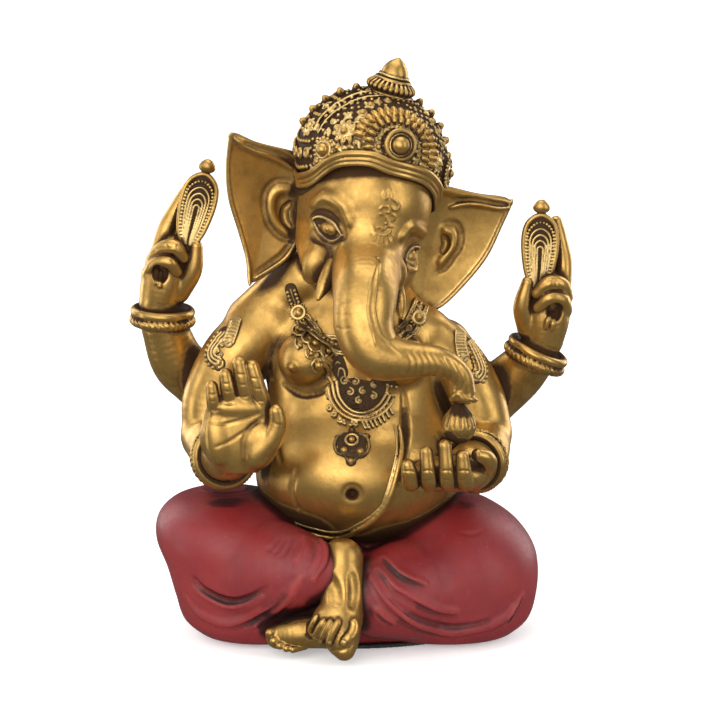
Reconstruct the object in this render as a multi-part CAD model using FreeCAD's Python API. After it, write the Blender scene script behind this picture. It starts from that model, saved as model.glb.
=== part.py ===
"""Seated elephant-headed figure with four arms, as the set of castings and applied pieces it is made from.

Millimetres. +Z is up, the figure faces -Y, and its own right side is at -X. The origin is on the
surface that it stands on, below the middle of the figure. Right and left in the names are the figure's own.
"""
import FreeCAD, Part
import math
import os

from FreeCAD import Matrix, Placement, Rotation, Vector

# Driving dimensions.
PAD_THICKNESS = 1.2          # felt pad under the casting
PAD_RADII = (46.0, 33.0)     # felt pad outline, half width and half depth
BODY_Y = 2.0                 # middle of the felt pad, behind the working origin
HEAD_CENTRE = (5.0, -4.0, 146.0)
HEAD_ROLL = 14.0             # degrees the crown leans to the figure's left
HEAD_YAW = 14.0              # degrees the face turns to the figure's left
HEAD_PITCH = 6.0             # degrees the face looks down
SKULL_RADII = (22.5, 24.5, 27.0)
SKULL_LIFT = 3.0             # middle of the skull's dome above the head's own origin
CROWN_RADII = (25.6, 26.0, 22.6)
CROWN_CENTRE = (-1.5, 2.0, 20.0)     # in the head's own axes
CROWN_RIM_LEVEL = 3.0        # height of the crown's rim at the sides of the head, in the head's own axes
CROWN_RIM_SLOPE = 34.0       # degrees that the rim rises towards the front
UP = Vector(0, 0, 1)

head_turn = Rotation(Vector(0, 1, 0), HEAD_ROLL).multiply(
    Rotation(Vector(0, 0, 1), HEAD_YAW)).multiply(Rotation(Vector(1, 0, 0), HEAD_PITCH))


# ---- helpers -------------------------------------------------------------------------------------
def at_head(x, y, z):
    """A point of the head's own axes, from the middle of the skull, in the part's frame."""
    return Vector(*HEAD_CENTRE) + head_turn.multVec(Vector(x, y, z))


def head_dir(x, y, z):
    """A direction of the head's own axes, in the part's frame."""
    return head_turn.multVec(Vector(x, y, z)).normalize()


def ellipsoid(centre, radii, turn=None):
    """A solid ellipsoid."""
    stretch = Matrix()
    stretch.scale(*radii)
    solid = Part.makeSphere(1.0).transformGeometry(stretch)
    solid.Placement = Placement(Vector(*centre), turn or Rotation())
    return solid


def ring_wire(centre, axis, wide, high=None, side=Vector(1, 0, 0)):
    """A round or oval outline about a centre, square to an axis. wide is measured along side."""
    axis = Vector(axis).normalize()
    across = (side - axis * side.dot(axis)).normalize()
    along = axis.cross(across)
    high = high or wide
    if abs(wide - high) < 1e-6:
        return Part.Wire([Part.Circle(centre, axis, wide).toShape()])
    major, minor = (across * wide, along * high) if wide > high else (along * high, across * -wide)
    return Part.Wire([Part.Ellipse(centre + major, centre + minor, centre).toShape()])


def tube(points, radii, flat=1.0, side=Vector(1, 0, 0)):
    """A limb: a loft through rings along the points, each with its own radius, and with rounded ends.
    flat is the ring's other radius as a share of the first."""
    points = [Vector(*p) for p in points]
    ways = [(b - a).normalize() for a, b in zip(points, points[1:])]
    tangents = [ways[0]] + [(a + b).normalize() for a, b in zip(ways, ways[1:])] + [ways[-1]]
    rings = []
    for share, scale in ((0.95, 0.30), (0.70, 0.71)):
        start = points[0] - tangents[0] * radii[0] * share * 0.6
        rings.append(ring_wire(start, tangents[0], radii[0] * scale, radii[0] * scale * flat, side))
    for point, tangent, radius in zip(points, tangents, radii):
        rings.append(ring_wire(point, tangent, radius, radius * flat, side))
    for share, scale in ((0.70, 0.71), (0.95, 0.30)):
        end = points[-1] + tangents[-1] * radii[-1] * share * 0.6
        rings.append(ring_wire(end, tangents[-1], radii[-1] * scale, radii[-1] * scale * flat, side))
    return Part.makeLoft(rings, True, False)


def fuse(first, *rest):
    """One solid from several that overlap."""
    return first.fuse(list(rest)).removeSplitter() if rest else first


def largest(shape):
    """The largest solid of a shape."""
    return max(shape.Solids, key=lambda s: s.Volume)


def cut(shape, *tools):
    """The shape without the tools, kept to its largest solid."""
    for tool in tools:
        if shape.BoundBox.intersect(tool.BoundBox):
            shape = shape.cut(tool)
    return largest(shape)


def above(height):
    """A large block that starts at a height."""
    return Part.makeBox(400, 400, 400, Vector(-200, -200, height))


def flat_bottom(shape):
    """The shape standing flat on the felt pad."""
    return largest(shape.common(above(PAD_THICKNESS)))


def torus(centre, axis, major, minor):
    """A plain ring."""
    return Part.makeTorus(major, minor, Vector(*centre), Vector(axis))


def ball(centre, radius):
    """A bead."""
    return Part.makeSphere(radius, Vector(*centre))


def plate(outline, way, thickness):
    """A flat plate of a closed smooth outline, its thickness laid both sides of the outline's plane."""
    line = Part.BSplineCurve()
    line.interpolate([Vector(*p) for p in outline], PeriodicFlag=True)
    way = Vector(way).normalize()
    wire = Part.Wire([line.toShape()])
    wire.translate(way * (-thickness / 2))
    return Part.Face(wire).extrude(way * thickness)


def stack(levels):
    """A body through level ovals, each given as height, middle x, middle y, half width and half depth."""
    rings = [ring_wire(Vector(x, y, z), UP, wide, deep) for z, x, y, wide, deep in levels]
    return Part.makeLoft(rings, True, False)


def shell(centre, radii, thickness, turn):
    """A skin of even thickness over an ellipsoid."""
    return ellipsoid(centre, [r + thickness for r in radii], turn).cut(ellipsoid(centre, radii, turn))


# ---- seat, legs and feet ---------------------------------------------------------------------------
def felt_pad():
    outline = ring_wire(Vector(0, BODY_Y, 0), UP, *PAD_RADII)
    return Part.Face(outline).extrude(Vector(0, 0, PAD_THICKNESS))


def seat():
    hips = ellipsoid((0, BODY_Y + 12, 22), (50, 33, 27))
    lap = ellipsoid((2, BODY_Y - 8, 14), (37, 29, 22))
    return flat_bottom(fuse(hips, lap))


def right_leg():
    knee = stack([(0, -29, -8, 20, 21), (6, -31.5, -8, 25, 26), (14, -33.5, -7, 26, 28), (24, -35.5, -6, 27, 30),
                  (34, -38.5, -5, 27.8, 31), (42, -39.5, -4, 26, 28), (47.5, -41, -3, 19, 20), (50.5, -43, -2, 8, 9)])
    shin = tube([(-36, -14, 24), (-24, -28, 27), (-10.5, -37.5, 28.5)], [21, 16.5, 10.5])
    return flat_bottom(fuse(knee, shin))


def left_leg():
    knee = stack([(0, 34, -7, 22, 22), (6, 37, -7, 26, 27), (14, 38.5, -6, 27.3, 29.5), (24, 39, -5, 27.5, 31),
                  (32, 38, -4, 26.5, 30), (40, 36.5, -3, 22, 25), (46, 35.5, -2, 14, 16), (49, 35, -1, 6, 8)])
    shin = tube([(36, -13, 19), (22, -26, 20), (11, -33, 19)], [19, 17.5, 14.0])
    return flat_bottom(fuse(knee, shin))


def right_foot():
    """The foot that hangs in front, toes down."""
    instep = tube([(-1.5, -38, 33), (-2.0, -45, 22), (-2.5, -49.5, 12), (-2.5, -50, 6.5)],
                  [5.8, 7.0, 8.6, 7.4], 0.8)
    return flat_bottom(instep)


def left_foot():
    """The foot that is tucked under the other knee, toes to the figure's right."""
    return flat_bottom(tube([(-6, -37, 8.5), (-15, -40, 8.5), (-25, -38, 6.5)], [6.5, 6.0, 4.5], 0.9, UP))


# ---- torso -----------------------------------------------------------------------------------------
def torso():
    chest = stack([(34, 4, 5, 25, 22), (44, 4, 2, 33, 30), (56, 4, 0, 36, 33), (68, 4, 1, 34, 31),
                   (80, 3, 4, 30.5, 25), (92, 2, 6, 31, 22.5), (102, 2, 7, 31, 20.5), (110, 3, 8, 28, 18),
                   (117, 4, 7, 20, 15), (124, 5, 4, 14, 13)])
    breasts = [ellipsoid((x, -13.5, 97), (10, 8.5, 9)) for x in (-15, 17)]
    return fuse(chest, *breasts)


def waist_sash():
    """The raised hem that runs under the belly and up its left side."""
    run = [(-28, -19, 50), (-16, -27.5, 44), (-1, -32.5, 40), (12, -31.5, 46), (20, -28.5, 57), (22, -28, 70)]
    return tube(run, [1.6] * len(run), 1.0, UP)


# ---- jewellery on the chest ------------------------------------------------------------------------
def collar():
    run = [(-17.5, -7, 117), (-16.5, -14, 112), (-11, -20, 105.5), (-1, -24, 100.5), (12, -24, 101),
           (23, -18, 106), (26, -9, 112)]
    return tube(run, [4.6] * len(run), 0.35, UP)


def pendant_chain():
    run = [(-10, -24.5, 97), (-7.5, -26, 88), (-2, -29, 82), (3, -30, 80), (10, -29, 82.5), (15, -26.5, 89)]
    return tube(run, [2.2] * len(run), 0.5, UP)


def pendant():
    disc = Part.makeCylinder(5.6, 2.0, Vector(1.8, -31.0, 72), Vector(0, -1, -0.12))
    return fuse(disc, ball((1.8, -33.0, 72), 1.9))


def collar_rosette(x, y, z, way):
    disc = Part.makeCylinder(3.2, 1.8, Vector(x, y, z), Vector(*way))
    boss = Vector(x, y, z) + Vector(*way).normalize() * 1.8
    return fuse(disc, ball(boss, 1.6))


# ---- head ------------------------------------------------------------------------------------------
def skull():
    dome = ellipsoid(at_head(0, 0, SKULL_LIFT), SKULL_RADII, head_turn)
    cheeks = ellipsoid(at_head(0, -4, -13), (19.5, 19, 13.5), head_turn)
    return fuse(dome, cheeks)


def trunk():
    """The elephant's trunk: down the face, across the chest to the left, and over the sweet."""
    run = [at_head(0, -17, -3), at_head(0, -24, -13), (6.2, -40.5, 121), (5.8, -45, 112), (10, -47.5, 104),
           (19, -49, 102), (30, -49.5, 101.5), (37.0, -48.5, 97), (38.6, -47, 90.5)]
    return tube(run, [12.5, 12.0, 10.4, 9.6, 8.4, 5.8, 4.5, 3.6, 4.4])


def tusk(side):
    root = at_head(side * 11.5, -23, -17)
    tip = at_head(side * 14.5, -29, -25)
    return Part.makeCone(3.4, 1.2, (tip - root).Length, root, tip - root)


EARS = {
    # side: outline in the head's own axes as distance out and height, from the root's top and round by the point
    "right": [(18, 12), (28, 14), (39, 14.5), (51, 16), (49.5, 5), (45, -6), (39.5, -17), (35, -26), (31, -33),
              (23, -23), (18, -6)],
    "left": [(18, 12), (28, 14), (39, 14.5), (52.5, 15.5), (51, 5), (49, -6), (44, -17), (38, -26), (31, -31),
             (23, -22), (18, -6)],
}


def ear(name, side):
    """A dished leaf with its point up and out."""
    flat = plate([(side * x, 8, z) for x, z in EARS[name]], (0, 1, 0), 10.0)
    outer = ellipsoid((side * 22, -24, 2), (60, 36, 60))
    inner = ellipsoid((side * 22, -26.6, 2), (60, 36, 60))
    dished = largest(flat.common(outer).cut(inner))
    dished.Placement = Placement(Vector(*HEAD_CENTRE), head_turn)
    return dished


# ---- crown -----------------------------------------------------------------------------------------
def crown_slab(bottom, top):
    """The space between two planes along the crown's rim, at heights from the rim."""
    block = Part.makeBox(120, 120, top - bottom, Vector(-60, -60, bottom))
    slope = Rotation(Vector(1, 0, 0), -CROWN_RIM_SLOPE)
    block.Placement = Placement(at_head(0, 0, CROWN_RIM_LEVEL), head_turn.multiply(slope))
    return block


def crown_dome():
    dome = ellipsoid(at_head(*CROWN_CENTRE), CROWN_RADII, head_turn)
    return largest(dome.common(crown_slab(0, 90)))


def crown_rim():
    skin = shell(at_head(*CROWN_CENTRE), CROWN_RADII, 1.8, head_turn)
    return largest(skin.common(crown_slab(0, 3.4)))


def crown_point(angle, height, out=0.0):
    """A point of the crown's surface. angle 0 is the front, height is from the crown's middle."""
    x, y, z = CROWN_CENTRE
    reach = math.sqrt(1 - (height / CROWN_RADII[2]) ** 2)
    a = math.radians(angle)
    return at_head(x + (CROWN_RADII[0] * reach + out) * math.sin(a),
                   y - (CROWN_RADII[1] * reach + out) * math.cos(a), z + height)


def crown_plate():
    """The upright fan that stands on the front of the crown."""
    fan = [(-13, 23), (0, 24.5), (13, 23), (14.5, 30), (9, 37), (0, 40.5), (-9, 37), (-14.5, 30)]
    cutter = plate([(x, -20, z) for x, z in fan], (0, 1, 0), 36.0)
    cutter.Placement = Placement(Vector(*HEAD_CENTRE), head_turn)
    return largest(shell(at_head(*CROWN_CENTRE), CROWN_RADII, 2.2, head_turn).common(cutter))


def boss(root, way, disc_radius, height, ball_radius):
    """A round setting with a half-sunk ball in it."""
    return fuse(Part.makeCylinder(disc_radius, height, root, way), ball(root + way * height, ball_radius))


def crown_medallion():
    return boss(crown_point(0, 9.5, 0.5), head_dir(0, -1, 0.2), 5.4, 3.2, 3.3)


def crown_rosette(angle, height):
    a = math.radians(angle)
    return boss(crown_point(angle, height, -0.6), head_dir(math.sin(a), -math.cos(a), 0.15), 5.2, 2.6, 2.2)


def crown_beads():
    """The row of beads that stands over the crown from side to side, clear of the knob."""
    beads = []
    for step in (-6, -5, -4, -3, -2, 2, 3, 4, 5, 6):
        a = math.radians(step * 12.5)
        x, y, z = CROWN_CENTRE
        beads.append(ball(at_head(x + CROWN_RADII[0] * 1.04 * math.sin(a), y + 1.0,
                                  z + CROWN_RADII[2] * 1.04 * math.cos(a)), 1.9))
    return beads


def finial():
    """Turned knob on top of the crown: collar, neck and bud."""
    profile = [(0, -2.0), (7.0, -2.0), (8.6, 0.0), (8.8, 2.6), (6.6, 3.4), (6.2, 5.4), (5.0, 6.4), (4.6, 8.2),
               (2.8, 10.8), (0, 12.2)]
    points = [Vector(r, 0, z) for r, z in profile]
    edges = [Part.LineSegment(a, b).toShape() for a, b in zip(points, points[1:] + points[:1])]
    solid = Part.Face(Part.Wire(edges)).revolve(Vector(0, 0, 0), UP, 360)
    x, y, z = CROWN_CENTRE
    solid.Placement = Placement(at_head(x, y, z + CROWN_RADII[2] + 0.3), head_turn)
    return solid


# ---- arms and hands --------------------------------------------------------------------------------
LIMBS = {
    # name: points from the body outwards, and the radius at each
    "right_front_upper_arm": ([(-26, 6, 106), (-38, 3, 97), (-46.5, 2, 82), (-48, 0, 70)], [11, 11.5, 10.5, 9.5]),
    "right_front_forearm": ([(-48, -1, 68), (-44, -16, 65), (-39.5, -30, 66.5)], [9.6, 8.4, 6.6]),
    "left_front_upper_arm": ([(27, 7, 102), (37, 4, 93), (44, 3, 82), (47.5, 1, 71)], [10.5, 10.8, 10.5, 9.8]),
    "left_front_forearm": ([(47.5, 0, 67.5), (46.5, -13, 64), (41.5, -27, 62)], [9.6, 8.4, 6.4]),
    "right_rear_upper_arm": ([(-28, 20, 98), (-40, 22, 90), (-49, 21, 85)], [10, 10, 9.6]),
    "right_rear_forearm": ([(-53, 20, 85), (-60, 16.5, 92.5), (-64.3, 12.5, 105)], [9.8, 9.4, 8.0]),
    "left_rear_upper_arm": ([(34, 20, 97), (42, 22, 86), (48, 21, 79)], [10, 10, 10]),
    "left_rear_forearm": ([(51, 20, 79), (59.5, 16, 87), (65, 12.5, 93.5)], [10.2, 9.4, 8.2]),
}


def limb(name):
    return tube(*LIMBS[name])


def palm_and_fingers(palm, fingers):
    """A hand: a rounded palm, and a tube for each finger that starts inside it."""
    return fuse(palm, *[tube(run, radii) for run, radii in fingers])


def right_front_hand():
    """Raised open, palm forward."""
    palm = stack([(62.5, -35, -38, 4, 2.5), (66, -35.3, -38.6, 10, 4.6), (72, -35.5, -39.3, 13.4, 5.4),
                  (79, -35.6, -39.8, 13.6, 5.2), (86, -35.8, -40.2, 11.5, 4.2), (89, -36, -40.5, 8, 3)])
    roots = [(-28.0, 87), (-33.2, 88.5), (-38.6, 87.0), (-43.8, 84.0)]
    tips = [(-31.2, 98.8), (-35.3, 100.0), (-39.9, 96.2), (-44.5, 92.2)]
    radii = [2.6, 2.7, 2.5, 2.2]
    fingers = [([(x, -40.5, z - 6), (x, -41, z), (tx, -43.0, tz)], [r, r, r * 0.85])
               for (x, z), (tx, tz), r in zip(roots, tips, radii)]
    fingers.append(([(-30, -40.5, 70), (-23.5, -42, 76), (-23, -44, 84)], [4.0, 3.4, 2.5]))
    return palm_and_fingers(palm, fingers)


def left_front_hand():
    """Held palm up, fingers curled up round the sweet."""
    palm = stack([(56, 34, -36, 6, 4), (58.3, 34, -37, 11, 7), (61.5, 34, -37.5, 13, 8.5),
                  (64.7, 34, -37.3, 11.5, 7.5), (67, 34, -37, 7, 5)])
    fingers = [([(x, -40, 60.5), (x, -46, 60.5), (x - 0.8, -49.7, 65), (x - 1.2, -50.3, tip)],
                [2.6, 2.6, 2.3, 1.9]) for x, tip in ((21.5, 67.0), (27.5, 71.5), (33.7, 73.5), (39.3, 70.0))]
    fingers.append(([(43, -33, 62), (47, -38, 65), (45.5, -43, 69)], [3.4, 2.8, 2.1]))
    return palm_and_fingers(palm, fingers)


def rear_hand(x, side):
    """Holds an emblem between the fingers. side is 1 on the figure's right."""
    def place(dx, dy, dz):
        lean, base = (3.6, 117.5) if side > 0 else (0.8, 105.0)
        return (x + side * dx + lean * dz / 12.0, 10 + dy, base + dz)

    palm = tube([place(0, 1, -4), place(-0.5, 0, 5), place(0, 0, 15)], [8.0, 9.2, 7.8], 0.72)
    fingers = [
        ([place(-5, -1, 13), place(-4.5, 1.5, 24), place(-1.5, 2.5, 37)], [3.0, 3.0, 2.1]),
        ([place(-1, 1, 14), place(0.0, 2.5, 24), place(2.5, 3.0, 32)], [3.0, 2.8, 2.0]),
        ([place(-5.5, -1, 12), place(-3.5, -5.5, 16), place(1, -7.5, 16), place(4, -7, 12)], [2.8, 2.7, 2.6, 2.1]),
        ([place(6.5, -2, 1), place(9.0, -5.0, 9), place(7.0, -6.0, 17)], [3.4, 3.0, 2.2]),
    ]
    return palm_and_fingers(palm, fingers)


def emblem(centre, lean):
    """Carved tablet with a rounded top and a bud on it, held upright."""
    half = [(0, 13.5), (4.6, 10.5), (6.0, 3.5), (4.8, -6), (2.6, -13), (0, -14.5)]
    outline = half + [(-x, z) for x, z in reversed(half[1:-1])]
    tablet = plate([(x, 0, z) for x, z in outline], (0, 1, 0), 3.4)
    bud = ball((0, 0, 15.4), 2.6)
    solid = fuse(tablet, bud)
    solid.Placement = Placement(Vector(*centre), Rotation(Vector(0, 1, 0), lean))
    return solid


def bracelet(centre, axis, radius):
    """Two rings side by side: a plain one and a corded one."""
    way = Vector(*axis).normalize()
    return fuse(torus(centre, way, radius, 1.9), torus(Vector(*centre) - way * 2.6, way, radius + 0.2, 1.7))


BRACELETS = {
    # name: middle, direction along the arm, radius of the rings
    "right_front": ((-41.5, -22.4, 65.0), (0.3, -0.95, 0.1), 9.7),
    "left_front": ((43.6, -21, 63.0), (-0.3, -0.95, -0.1), 9.4),
    "right_rear": ((-64.7, 12, 110.2), (0.05, -0.12, 1), 9.7),
    "left_rear": ((66.9, 12, 96.4), (0.42, -0.12, 0.9), 9.7),
}


def armlet(name, centre, size):
    """A plaque that follows the upper arm's surface."""
    points, radii = LIMBS[name]
    skin = tube(points, [r + 1.6 for r in radii])
    return skin.common(ellipsoid(centre, size, Rotation(Vector(0, 1, 0), -25 if centre[0] > 0 else 25)))


def sweet():
    """The sweet in the left front hand: a ball drawn up to a point."""
    body = ball((37.2, -44.5, 79.0), 6.0)
    peak = Part.makeCone(4.6, 0.9, 6.4, Vector(37.2, -44.5, 82.8), UP)
    return fuse(body, peak)


# ---- assembly --------------------------------------------------------------------------------------
def build():
    """Every piece under its node's name. Later pieces are trimmed to seat on the ones before them."""
    made = {"felt_pad": felt_pad(), "seat": seat()}
    made["left_leg"] = cut(left_leg(), made["seat"])
    made["right_leg"] = cut(right_leg(), made["seat"], made["left_leg"])
    made["left_foot"] = cut(left_foot(), made["seat"], made["left_leg"], made["right_leg"])
    made["right_foot"] = cut(right_foot(), made["seat"], made["left_leg"], made["right_leg"], made["left_foot"])
    made["torso"] = cut(torso(), made["seat"], made["left_leg"], made["right_leg"])
    lower = [made[n] for n in ("seat", "left_leg", "right_leg", "torso")]
    made["waist_sash"] = cut(waist_sash(), *lower)

    made["head"] = cut(skull(), made["torso"])
    made["trunk"] = cut(trunk(), made["head"])
    for side, name in ((-1, "right"), (1, "left")):
        made[name + "_tusk"] = cut(tusk(side), made["head"], made["trunk"])
        made[name + "_ear"] = cut(ear(name, side), made["head"], made["torso"])
    made["crown_dome"] = cut(crown_dome(), made["head"], made["right_ear"], made["left_ear"])
    made["crown_rim"] = cut(crown_rim(), made["head"], made["crown_dome"], made["right_ear"], made["left_ear"],
                            made["trunk"])
    made["crown_plate"] = cut(crown_plate(), made["crown_dome"], made["crown_rim"])
    made["crown_medallion"] = cut(crown_medallion(), made["crown_plate"], made["crown_dome"], made["crown_rim"])
    crown = [made[n] for n in ("crown_dome", "crown_rim", "crown_plate")]
    for angle, name in ((-62, "right"), (62, "left")):
        made[f"crown_{name}_rosette"] = cut(crown_rosette(angle, -2), *crown)
    made["crown_back_rosette"] = cut(crown_rosette(180, -2), *crown)
    made["crown_finial"] = cut(finial(), *crown)
    trim = [*crown, made["crown_finial"]]
    made["crown_beads"] = Part.makeCompound([cut(b, *trim) for b in crown_beads()])

    made["collar"] = cut(collar(), made["torso"], made["head"])
    made["pendant_chain"] = cut(pendant_chain(), made["torso"], made["collar"])
    made["pendant"] = cut(pendant(), made["torso"])
    made["right_collar_rosette"] = cut(collar_rosette(-16.0, -15.5, 113, (-0.3, -1, 0.35)),
                                       made["torso"], made["collar"], made["head"])
    made["left_collar_rosette"] = cut(collar_rosette(24.0, -14.5, 111, (0.35, -1, 0.35)),
                                      made["torso"], made["collar"], made["head"])

    body = [made[n] for n in ("torso", "seat", "left_leg", "right_leg", "head", "left_ear", "right_ear")]
    for name in LIMBS:
        inner = name.replace("forearm", "upper_arm")
        tools = list(body) + ([made[inner]] if inner != name else [])
        if "_rear_" in name:
            tools += [made[name.replace("_rear_", "_front_")]]
        made[name] = cut(limb(name), *tools)
    made["right_front_hand"] = cut(right_front_hand(), made["right_front_forearm"])
    made["left_front_hand"] = cut(left_front_hand(), made["left_front_forearm"], made["torso"], made["left_leg"])
    made["sweet"] = cut(sweet(), made["left_front_hand"], made["trunk"])
    for name, x, side in (("right", -64.5, 1), ("left", 69.0, -1)):
        made[name + "_rear_hand"] = cut(rear_hand(x, side), made[name + "_rear_forearm"])
    made["right_emblem"] = cut(emblem((-52.3, 5.0, 146.5), 15), made["right_rear_hand"], made["right_ear"])
    made["left_emblem"] = cut(emblem((66.8, 5.0, 132.0), 2), made["left_rear_hand"])

    for name, placing in BRACELETS.items():
        made[name + "_bracelet"] = cut(bracelet(*placing), made[name + "_forearm"], made[name + "_hand"])
    for side, centre in (("right", (-44, -7, 98)), ("left", (42, -7, 94))):
        arm = side + "_front_upper_arm"
        made[side + "_armlet"] = cut(armlet(arm, centre, (6, 8, 9)), made[arm])
    return made


def main():
    os.makedirs("parts", exist_ok=True)
    pieces = build()
    box = Part.makeCompound(list(pieces.values())).optimalBoundingBox(True, False)
    to_origin = Vector(-box.Center.x, -box.Center.y, 0)
    for name, shape in pieces.items():
        shape.translate(to_origin)
        shape.exportStep(f"parts/{name}.step")
        print(f"{name:24s} solids {len(shape.Solids)} valid {shape.isValid()} volume {shape.Volume:9.1f}")


main()
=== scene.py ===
"""Seated elephant-headed figure in antique gold and red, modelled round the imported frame.

The forms are sculpted as distance fields in millimetres, in the same working axes as the CAD solids: +Z up,
the figure faces -Y, its own right side is at -X. Each field is meshed into one closed piece per CAD node.
"""
import math
from concurrent.futures import ThreadPoolExecutor

import bpy
import numpy as np
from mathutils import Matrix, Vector


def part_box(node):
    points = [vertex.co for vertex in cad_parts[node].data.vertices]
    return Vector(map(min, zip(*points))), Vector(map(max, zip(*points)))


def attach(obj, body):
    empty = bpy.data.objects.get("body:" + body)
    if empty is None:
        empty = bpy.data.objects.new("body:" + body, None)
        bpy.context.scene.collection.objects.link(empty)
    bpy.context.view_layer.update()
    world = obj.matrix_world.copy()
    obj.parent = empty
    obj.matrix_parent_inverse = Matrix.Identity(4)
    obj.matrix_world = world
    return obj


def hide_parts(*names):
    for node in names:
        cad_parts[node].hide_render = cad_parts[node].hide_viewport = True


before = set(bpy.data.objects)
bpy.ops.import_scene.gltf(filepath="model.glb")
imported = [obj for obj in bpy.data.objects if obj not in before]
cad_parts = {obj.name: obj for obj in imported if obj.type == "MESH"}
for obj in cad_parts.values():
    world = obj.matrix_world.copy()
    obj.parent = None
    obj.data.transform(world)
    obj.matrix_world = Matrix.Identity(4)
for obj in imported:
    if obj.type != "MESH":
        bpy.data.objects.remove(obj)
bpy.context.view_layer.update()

MM = 0.001
PAD_LOW, PAD_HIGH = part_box("felt_pad")
PAD_BACK = 2.0               # the working origin lies this far in front of the pad's middle
ORIGIN = np.array([(PAD_LOW[0] + PAD_HIGH[0]) / 2 / MM, (PAD_LOW[1] + PAD_HIGH[1]) / 2 / MM - PAD_BACK, 0.0])
PAD_TOP = PAD_HIGH[2] / MM

HEAD_CENTRE = np.array([5.0, -4.0, 146.0])
HEAD_ROLL, HEAD_YAW, HEAD_PITCH = 14.0, 14.0, 6.0
FAR = 1e3                    # a distance beyond the whole figure
SMALL, TINY = 1e-6, 1e-9     # what a divisor is kept above
LEAST_RADIUS = 0.05          # the thinnest that a line may taper to


# ---- small vector tools ----------------------------------------------------------------------------
def turn(axis, degrees):
    """A rotation matrix about a named axis."""
    c, s = math.cos(math.radians(degrees)), math.sin(math.radians(degrees))
    return np.array({"x": [[1, 0, 0], [0, c, -s], [0, s, c]],
                     "y": [[c, 0, s], [0, 1, 0], [-s, 0, c]],
                     "z": [[c, -s, 0], [s, c, 0], [0, 0, 1]]}[axis])


def unit(v):
    v = np.asarray(v, float)
    return v / np.maximum(np.linalg.norm(v, axis=-1, keepdims=True), TINY)


HEAD_TURN = turn("y", HEAD_ROLL) @ turn("z", HEAD_YAW) @ turn("x", HEAD_PITCH)


def at_head(x, y, z):
    """A point of the head's own axes in the working axes."""
    return HEAD_CENTRE + HEAD_TURN @ np.array([x, y, z], float)


def turned_back(m, offsets):
    """Offsets in the working axes, as offsets along the columns of a rotation."""
    return [m[0, i] * offsets[0] + m[1, i] * offsets[1] + m[2, i] * offsets[2] for i in range(3)]


def in_head(x, y, z):
    """Working coordinates in the head's own axes."""
    return turned_back(HEAD_TURN, [a - c for a, c in zip((x, y, z), HEAD_CENTRE)])


def smooth_line(points, radii, per_span=6):
    """A Catmull-Rom line through points, with the radius carried along it."""
    p = np.array([list(q) for q in points], float)
    r = np.array(radii, float)
    data = np.column_stack([p, r])
    padded = np.vstack([2 * data[0] - data[1], data, 2 * data[-1] - data[-2]])
    out = []
    for i in range(len(data) - 1):
        a, b, c, d = padded[i:i + 4]
        for t in np.arange(per_span) / per_span:
            out.append(0.5 * (2 * b + (c - a) * t + (2 * a - 5 * b + 4 * c - d) * t * t
                              + (3 * b - a - 3 * c + d) * t ** 3))
    out.append(data[-1])
    out = np.array(out)
    return out[:, :3], np.maximum(out[:, 3], LEAST_RADIUS)


def smooth_path(points, per_span):
    """A Catmull-Rom line through points, without radii."""
    return smooth_line(points, [1] * len(points), per_span)[0]


def lengths(line):
    """The length run at each point of a line."""
    return np.concatenate([[0], np.cumsum(np.linalg.norm(np.diff(line, axis=0), axis=1))])


def at_length(d, run, values):
    """What a line carries, at one length."""
    return np.array([np.interp(d, run, values[:, i]) for i in range(3)])


def spin(m, angle):
    """The direction at an angle round a surface's normal, from the axis along it."""
    return m[:, 0] * math.sin(angle) + m[:, 1] * math.cos(angle)


# ---- distance shapes -------------------------------------------------------------------------------
class Shape:
    """A distance function with the box that holds it."""

    def __init__(self, low, high, distance):
        self.low, self.high, self.distance = np.asarray(low, float), np.asarray(high, float), distance


def oval_distance(offsets, radii):
    """About how far a point is from an oval, from its offsets along the oval's axes."""
    k0 = np.sqrt(sum((d / r) ** 2 for d, r in zip(offsets, radii)))
    k1 = np.sqrt(sum((d / r ** 2) ** 2 for d, r in zip(offsets, radii)))
    return k0 * (k0 - 1) / np.maximum(k1, SMALL)


def ellipsoid(centre, radii, rotation=None):
    c, r = np.asarray(centre, float), np.asarray(radii, float)
    m = np.eye(3) if rotation is None else rotation
    reach = np.sqrt(((m * r) ** 2).sum(axis=1))

    def distance(x, y, z):
        return oval_distance(turned_back(m, (x - c[0], y - c[1], z - c[2])), r)

    return Shape(c - reach, c + reach, distance)


def ball(centre, radius):
    return ellipsoid(centre, [radius] * 3)


def head_ellipsoid(x, y, z, radii):
    return ellipsoid(at_head(x, y, z), radii, HEAD_TURN)


def cone_distance(a, b, ra, rb, x, y, z):
    """Distance to a straight run with a rounded end at a and at b."""
    ab = b - a
    length2 = max(float(ab @ ab), TINY)
    t = np.clip(((x - a[0]) * ab[0] + (y - a[1]) * ab[1] + (z - a[2]) * ab[2]) / length2, 0, 1)
    gap = np.sqrt((x - a[0] - t * ab[0]) ** 2 + (y - a[1] - t * ab[1]) ** 2 + (z - a[2] - t * ab[2]) ** 2)
    return gap - (ra + (rb - ra) * t)


def segments(line, radii):
    """The straight runs between a line's points, each with its box."""
    parts = []
    for a, b, ra, rb in zip(line, line[1:], radii, radii[1:]):
        box = (np.minimum(a - ra, b - rb), np.maximum(a + ra, b + rb))
        parts.append((box, (a, b, ra, rb)))
    return parts


def tube(points, radii, per_span=6):
    """A limb, finger, fold or cord along a smooth line."""
    if np.isscalar(radii):
        radii = [radii] * len(points)
    line, r = smooth_line(points, radii, per_span)
    low, high = (line - r[:, None]).min(axis=0), (line + r[:, None]).max(axis=0)
    return Shape(low, high, segments(line, r))


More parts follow.
